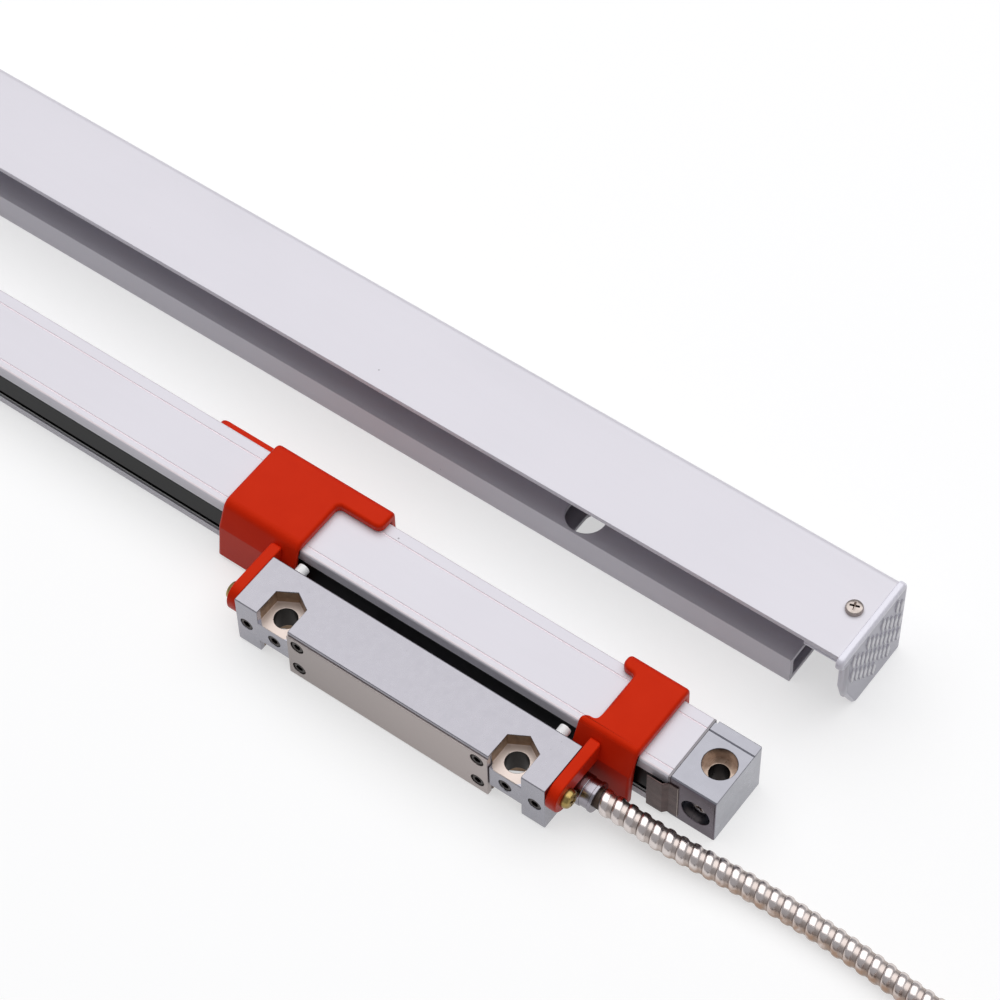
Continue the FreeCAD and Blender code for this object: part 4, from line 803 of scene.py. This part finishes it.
left_shell = combined(
    slab("left_shell", left_section, "X", -152.0, -112.4),
    ("INTERSECT", slab("left_plan", left_plan, "Z", 0, 25)),
    ("UNION", slab("left_tab", left_tab, "Y", 10.9, 12.9)),
    ("UNION", slab("left_arm", left_arm, "X", -134.4, -131.0)))
right_shell = combined(
    slab("right_shell", right_section, "X", -36.4, -17.6),
    ("INTERSECT", slab("right_plan", right_plan, "Z", 0, 25)),
    ("UNION", slab("right_arm", right_arm, "X", -31.0, -27.6)))


def bracket_share(x, y, z):
    """How much of the full rounding an edge of a bracket gets: all of it outside, little inside."""
    outside = z > 18.7 or y > 12.5 or y < -10.9 - 0.44 * (20.9 - z) + 0.5
    if -36.5 < x < -30.5 and -15.0 < y < -7.0:
        return 0.18
    if x < -152.5 or y < -17.0:
        return 0.45
    return 1.0 if outside and z > 2.0 else 0.3


for side, shell in (("left", left_shell), ("right", right_shell)):
    name = side + "_bracket_moulding"
    moulding = softened(name, shell, 1.1, bracket_red, rows=4, sharp=35, share=bracket_share)
    piece(name, moulding, "reading_head", "bracket_red", side + "_bracket")

# Bracket screws: brass pan-head screws that go through the brackets' arms into the ends of the head. They
# come out with the brackets.
brass = Finish("brass")
patina = brass.noise(1.0, 4.0)
brass.coat(
    Base_Color=brass.mix(patina, rgb(190, 164, 104), rgb(120, 102, 58)), Metallic=1.0,
    Roughness=0.22 + patina * 0.14, Normal=brass.bump(patina, 0.006))
bracket_screw = cross_head("bracket_screw", 2.8, 2.2, 1.5, 6.0)
bracket_screw_spots = [((-134.4, -28.1, 13.0), (-1, 0, 0), 0.4), ((-27.6, -28.1, 13.0), (1, 0, 0), 0.9)]
spread_out("cross_bracket_screws", bracket_screw, bracket_screw_spots, brass,
           "reading_head", "brass", "bracket_screws")

# Alignment pads: two turned white acetal buttons, pressed into the far side of the head. They set its
# distance from the housing while it is fitted.
pad_white = Finish("pad_white")
haze = pad_white.noise(1.2, 3.0)
pad_white.coat(
    Base_Color=pad_white.mix(haze, rgb(246, 245, 245), rgb(236, 235, 236)), Roughness=0.3,
    Subsurface_Weight=0.1, Subsurface_Radius=(0.001, 0.001, 0.001), Normal=pad_white.bump(haze, 0.01))
wear(pad_white, "alignment_pads")

# Cable gland: a turned and chromed ferrule screwed into the end of the head, with the sheathed leads
# passing through it to the board.
core_black = Finish("core_black")
drag = core_black.noise(0.5, 3.0, stretch=(12, 1, 1))
core_black.coat(
    Base_Color=core_black.mix(drag, rgb(22, 22, 23), rgb(40, 40, 41)), Roughness=0.55,
    Normal=core_black.bump(drag, 0.02))
wear(core_black, "cable_core")
ferrule_chrome = Finish("ferrule_chrome")
turning = ferrule_chrome.noise(0.3, 2.0, stretch=(0.3, 4, 4))
ferrule_chrome.coat(
    Base_Color=ferrule_chrome.mix(turning, rgb(160, 156, 163), rgb(140, 136, 142)), Metallic=1.0,
    Roughness=0.16 + turning * 0.1, Normal=ferrule_chrome.bump(turning, 0.002))
eased("cable_gland", 0.2, "reading_head", "chromed", ferrule_chrome)

# Armoured cable: a stainless strip wound in interlocking turns round the leads, 7 mm over the strip. It
# leaves the gland and runs along the table, and what the photograph doesn't show of its 3 m lies in a tied
# coil, with the connector beside it.
CABLE = 7 * MM
MOUTH = Vector((-22.5, -20.9, 7.6)) * MM
ROUTE = [(0, 0, 0), (10.5, 0, 0), (22, 0.5, -2.2), (43.5, 3.1, -4.0), (69.5, 3.1, -4.1), (96.5, 1.1, -4.1),
         (120.5, 0.5, -4.0)]
LAST_STRETCH = [(95.5, -100.6, 10.7), (86.0, -97.2, 9.2), (77.0, -96.25, 7.8), (69.0, -96.25, 7.5),
                (62.0, -96.25, 7.5)]
COIL_MIDDLE = (122.0, -64.0)
# Column and layer of each turn, from the outside where the cable comes in to the outside where it leaves
TURN_ORDER = [(2, 0), (1, 0), (0, 0), (0, 1), (1, 1), (1, 2), (0, 2), (0, 3), (1, 3), (2, 3), (2, 2), (2, 1)]
INNER_TURN = 30.0
TURN_PITCH = 7.0
FIRST_LAYER = 4.3
STRAP = 0.8
POINTS_PER_TURN = 16
COIL_ENTRY = math.radians(90)
LAST_SWEEP = math.radians(200)


def coil_turns():
    """Control points of the coil's turns, clockwise as seen from above."""
    points = []
    shrink = math.cos(math.pi / POINTS_PER_TURN)
    turns = len(TURN_ORDER) - 1 + LAST_SWEEP / (2 * math.pi)
    for i in range(round(turns * POINTS_PER_TURN) + 1):
        done, into = divmod(i / POINTS_PER_TURN, 1)
        column, layer = TURN_ORDER[int(done)]
        following = TURN_ORDER[min(int(done) + 1, len(TURN_ORDER) - 1)]
        share = max(0.0, into - 0.75) * 4
        share = share * share * (3 - 2 * share)
        column += (following[0] - column) * share
        layer += (following[1] - layer) * share
        angle = COIL_ENTRY - 2 * math.pi * (done + into)
        radius = (INNER_TURN + TURN_PITCH * column) / shrink
        on_strap = math.exp(-(math.sin(angle / 2) / 0.16) ** 2)
        sink = STRAP * 0.85 * (1 - on_strap) * max(0.0, 1 - layer)
        points.append((COIL_MIDDLE[0] + radius * math.cos(angle),
                       COIL_MIDDLE[1] + radius * math.sin(angle), FIRST_LAYER + TURN_PITCH * layer - sink))
    return points


route_points = [MOUTH + Vector(offset) * MM for offset in ROUTE]
route_points += [Vector(point) * MM for point in coil_turns() + LAST_STRETCH]
cable_line = bpy.data.curves.new("cable_leads", "CURVE")
cable_line.dimensions = "3D"
spline = cable_line.splines.new("NURBS")
spline.points.add(len(route_points) - 1)
for point, spot in zip(spline.points, route_points):
    point.co = (*spot, 1.0)
spline.order_u = 3
spline.use_endpoint_u = True
spline.resolution_u = 6
cable = show("cable_leads", cable_line)
bpy.context.view_layer.update()
route_line = bpy.data.meshes.new_from_object(cable)
route_spots = [vertex.co for vertex in route_line.vertices]
cable_length = sum((b - a).length for a, b in zip(route_spots, route_spots[1:]))

leads = Finish("cable_leads")
leads.coat(Base_Color=leads.mix(leads.noise(2.0), rgb(52, 38, 30), rgb(84, 62, 46)), Roughness=0.55)
cable_line.bevel_depth = CABLE * 0.41
cable_line.bevel_resolution = 2
cable_line.materials.append(leads.material)
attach(cable, "reading_head")
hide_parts("cable_conduit", "cable_coil", "cable_tail")

conduit = Finish("conduit")
shade = conduit.node("ShaderNodeAttribute", {"attribute_name": "groove"}, output="Fac")
film = conduit.noise(3.0, 4.0)
rise = conduit.axis("Z")
# Painted reflection: a brown band on the sides of the cable, 1 to 6 mm above the table.
side_painted_reflection = rise.within(1.0, 3.2) * (1 - rise.within(4.6, 6.2)) * conduit.noise(2.4, 2.0).within(0.2, 0.55)
strip_with_painted_shade = conduit.mix(film, rgb(226, 217, 214), rgb(204, 195, 191))
strip_with_painted_shade = conduit.mix(side_painted_reflection * 0.8, strip_with_painted_shade, rgb(142, 106, 76))
# Painted shade: the strip darkens the deeper it lies below its raised band, to dark brown in the seams
# between turns.
strip_with_painted_shade = conduit.mix(shade.within(0.35, 0.7) * 0.5, strip_with_painted_shade, rgb(150, 134, 124))
conduit.coat(
    Base_Color=conduit.mix(shade.within(0.78, 0.95), strip_with_painted_shade, rgb(70, 46, 30)), Metallic=1.0,
    Roughness=0.18 + film * 0.08 + shade * 0.15, Normal=conduit.bump(conduit.noise(0.9, 3.0), 0.008))

winding = Recipe("winding", start=0.0, turns=10, steps=24, across=12, pitch=3.8 * MM, outside=3.5 * MM,
                 step_down=0.62 * MM)
pitch = winding.take("pitch")
count = winding.take("turns") * winding.take("steps") + 1
beads = winding.node("GeometryNodeResampleCurve", {"mode": "COUNT"}, {
    "Curve": winding.node("GeometryNodeCurvePrimitiveLine"), "Count": count})
turn = winding.node("GeometryNodeInputIndex") / winding.take("steps")
guide = winding.node("GeometryNodeMeshToCurve", values=[winding.take()])
spot = winding.node("GeometryNodeSampleCurve", {"mode": "LENGTH"}, {
    "Curves": guide, "Length": winding.take("start") + turn * pitch})
middle, heading, beside = [Value(winding, spot.socket.node.outputs[key])
                           for key in ("Position", "Tangent", "Normal")]
angle = (winding.take("start") / pitch + turn) * (2 * math.pi)
above = winding.vector("CROSS_PRODUCT", heading, beside)
out = winding.vector("NORMALIZE", winding.vector(
    "ADD", winding.scaled(beside, angle.maths("COSINE")), winding.scaled(above, angle.maths("SINE"))))
on_helix = winding.vector("ADD", middle, winding.scaled(out, winding.take("outside")))
helix = winding.node("GeometryNodeSetPosition", values={"Geometry": beads, "Position": on_helix})
helix = winding.node("GeometryNodeSetCurveNormal", {"mode": "FREE"}, {"Curve": helix, "Normal": out})
strip = winding.node("GeometryNodeResampleCurve", {"mode": "COUNT"}, {
    "Curve": winding.node("GeometryNodeCurvePrimitiveLine"), "Count": winding.take("across")})
share = winding.node("GeometryNodeInputIndex") / (winding.take("across") - 1)
section = winding.node("ShaderNodeFloatCurve", values={"Value": share})
# Height of the strip's section from one edge to the other: low band, shoulder, raised band, hooked edge
STRIP_SECTION = [(0.0, 0.0), (0.06, 0.24), (0.34, 0.26), (0.40, 0.60), (0.48, 0.90), (0.58, 1.0),
                 (0.72, 1.0), (0.84, 0.88), (0.92, 0.58), (1.0, 0.0)]
curve = section.socket.node.mapping.curves[0]
curve.points[0].location = STRIP_SECTION[0]
curve.points[1].location = STRIP_SECTION[-1]
for across, high in STRIP_SECTION[1:-1]:
    curve.points.new(across, high)
for point in curve.points:
    point.handle_type = "VECTOR"
section.socket.node.mapping.update()
low = 1 - section
strip = winding.node("GeometryNodeSetPosition", values={
    "Geometry": strip, "Position": winding.node("ShaderNodeCombineXYZ", values=[
        low * winding.take("step_down") * -1.0, (share - 0.5) * pitch * 1.04, 0.0])})
strip = winding.node("GeometryNodeStoreNamedAttribute", {"data_type": "FLOAT", "domain": "POINT"},
                     {"Geometry": strip, "Name": "groove", "Value": low})
wound = winding.node("GeometryNodeCurveToMesh", values={"Curve": helix, "Profile Curve": strip})
winding.end(winding.node("GeometryNodeSetShadeSmooth", values=[wound]))

SEEN_TURNS = 46
STRIP_PITCH = 3.83 * MM
all_turns = int(cable_length / STRIP_PITCH) - 1
for name, start, turns, steps, across in (
        ("cable_strip_seen", 0.5, SEEN_TURNS, 32, 14),
        ("cable_strip_coiled", 0.5 + SEEN_TURNS, all_turns - SEEN_TURNS, 12, 9)):
    wound = winding.make(name, route_line.copy(), finish=conduit.material, start=start * STRIP_PITCH,
                         turns=turns, steps=steps, across=across, pitch=STRIP_PITCH)
    piece(name, wound, "reading_head", "conduit")

# Coil tie: a black nylon strap pulled tight round the coiled cable, as it comes from the maker, with
# fine moulded teeth along it.
tie_black = Finish("tie_black")
teeth = (tie_black.axis("Z") + tie_black.axis("X")).maths("PINGPONG", 0.45)
tie_black.coat(
    Base_Color=tie_black.mix(teeth, rgb(16, 16, 17), rgb(34, 34, 36)), Roughness=0.42,
    Normal=tie_black.bump(teeth, 0.15))
eased("coil_tie", 0.25, "reading_head", "tie_black", tie_black)

# Connector hood: two die-cast shells painted metallic grey, with finger grooves on both sides, clamped
# over the end of the conduit.
CONNECTOR_Y = -96.25
CONNECTOR_Z = 7.5
GRIPS = 5
GRIP_PITCH = 3.0
hood_grey = Finish("hood_grey")
paint = hood_grey.noise(0.3, 3.0)
hood_grey.coat(
    Base_Color=hood_grey.mix(paint, rgb(122, 122, 126), rgb(142, 142, 146)), Metallic=0.5,
    Roughness=0.42 + paint * 0.1, Normal=hood_grey.bump(paint, 0.03))
hood = eased("connector_hood", 0.9, "reading_head", "hood_grey", hood_grey, rows=3)
rib_outline = [(-0.7, -5.0), (0.7, -5.0), (0.7, 5.0), (-0.7, 5.0)]
rib = prism("rib", rib_outline, [(-0.3, 1.0), (0.2, 1.0), (0.6, 0.75)])
grip_spots = [((36.5 + i * GRIP_PITCH, CONNECTOR_Y + way * 9.0, CONNECTOR_Z), (0, way, 0), 0.0)
              for way in (1, -1) for i in range(GRIPS)]
grips = spread_out("hood_grips", rib, grip_spots, hood_grey, "reading_head", "hood_grey")

# Connector face: a pressed nickel shell of D shape on its flange, round a black insert with nine gold
# sockets in two rows.
SHELL = [(-7.05, -4.2), (7.05, -4.2), (8.45, 4.2), (-8.45, 4.2)]
CONTACT_PITCH = 2.74
CONTACT_ROWS = [(5, 8.92), (4, 6.08)]
connector_face = eased("connector_face", 0.5, "reading_head", "nickel", nickel)
insert = prism("insert", [(x * 0.9, y * 0.84) for x, y in SHELL], [(0, 1.0), (0.12, 0.98)])
insert_spots = [((15.1, CONNECTOR_Y, CONNECTOR_Z), (-1, 0, 0), math.pi / 2)]
connector_insert = spread_out("connector_insert", insert, insert_spots, tie_black,
                              "reading_head", "tie_black")
gold = Finish("gold")
rubbed = gold.noise(0.6, 3.0)
gold.coat(Base_Color=gold.mix(rubbed, rgb(226, 186, 104), rgb(204, 160, 82)), Metallic=1.0, Roughness=0.2)
contact = turned("contact", [(0.25, -0.1), (0.3, 0.22), (0.55, 0.22), (0.62, 0.12), (0.62, -0.1)], steps=12)
contact_spots = [((15.0, CONNECTOR_Y + (i - (number - 1) / 2) * CONTACT_PITCH, z), (-1, 0, 0), 0.0)
                 for number, z in CONTACT_ROWS for i in range(number)]
contacts = spread_out("connector_contacts", contact, contact_spots, gold, "reading_head", "brass")

# Thumbscrews: turned and nickel-plated, with a knurled grip, one through each ear of the hood. They
# fasten the connector to the readout.
KNURLS = 26
GRIP_RADIUS = 2.7
ridge_outline = [(-5.6, -0.26), (5.6, -0.26), (5.6, 0.26), (-5.6, 0.26)]
ridge = prism("ridge", ridge_outline, [(-0.15, 1.0), (0.16, 0.55)])
for name, row in (("right_thumbscrew", CONNECTOR_Y - 12.5), ("left_thumbscrew", CONNECTOR_Y + 12.5)):
    wear(nickel, name)
    ridge_spots = []
    for i in range(KNURLS):
        turn = 2 * math.pi * i / KNURLS
        y = math.cos(turn)
        z = math.sin(turn)
        spot = (36.7, row + GRIP_RADIUS * y, CONNECTOR_Z + GRIP_RADIUS * z)
        ridge_spots.append((spot, (0, y, z), 0.0))
    spread_out(name + "_knurls", ridge, ridge_spots, nickel, name, "nickel")
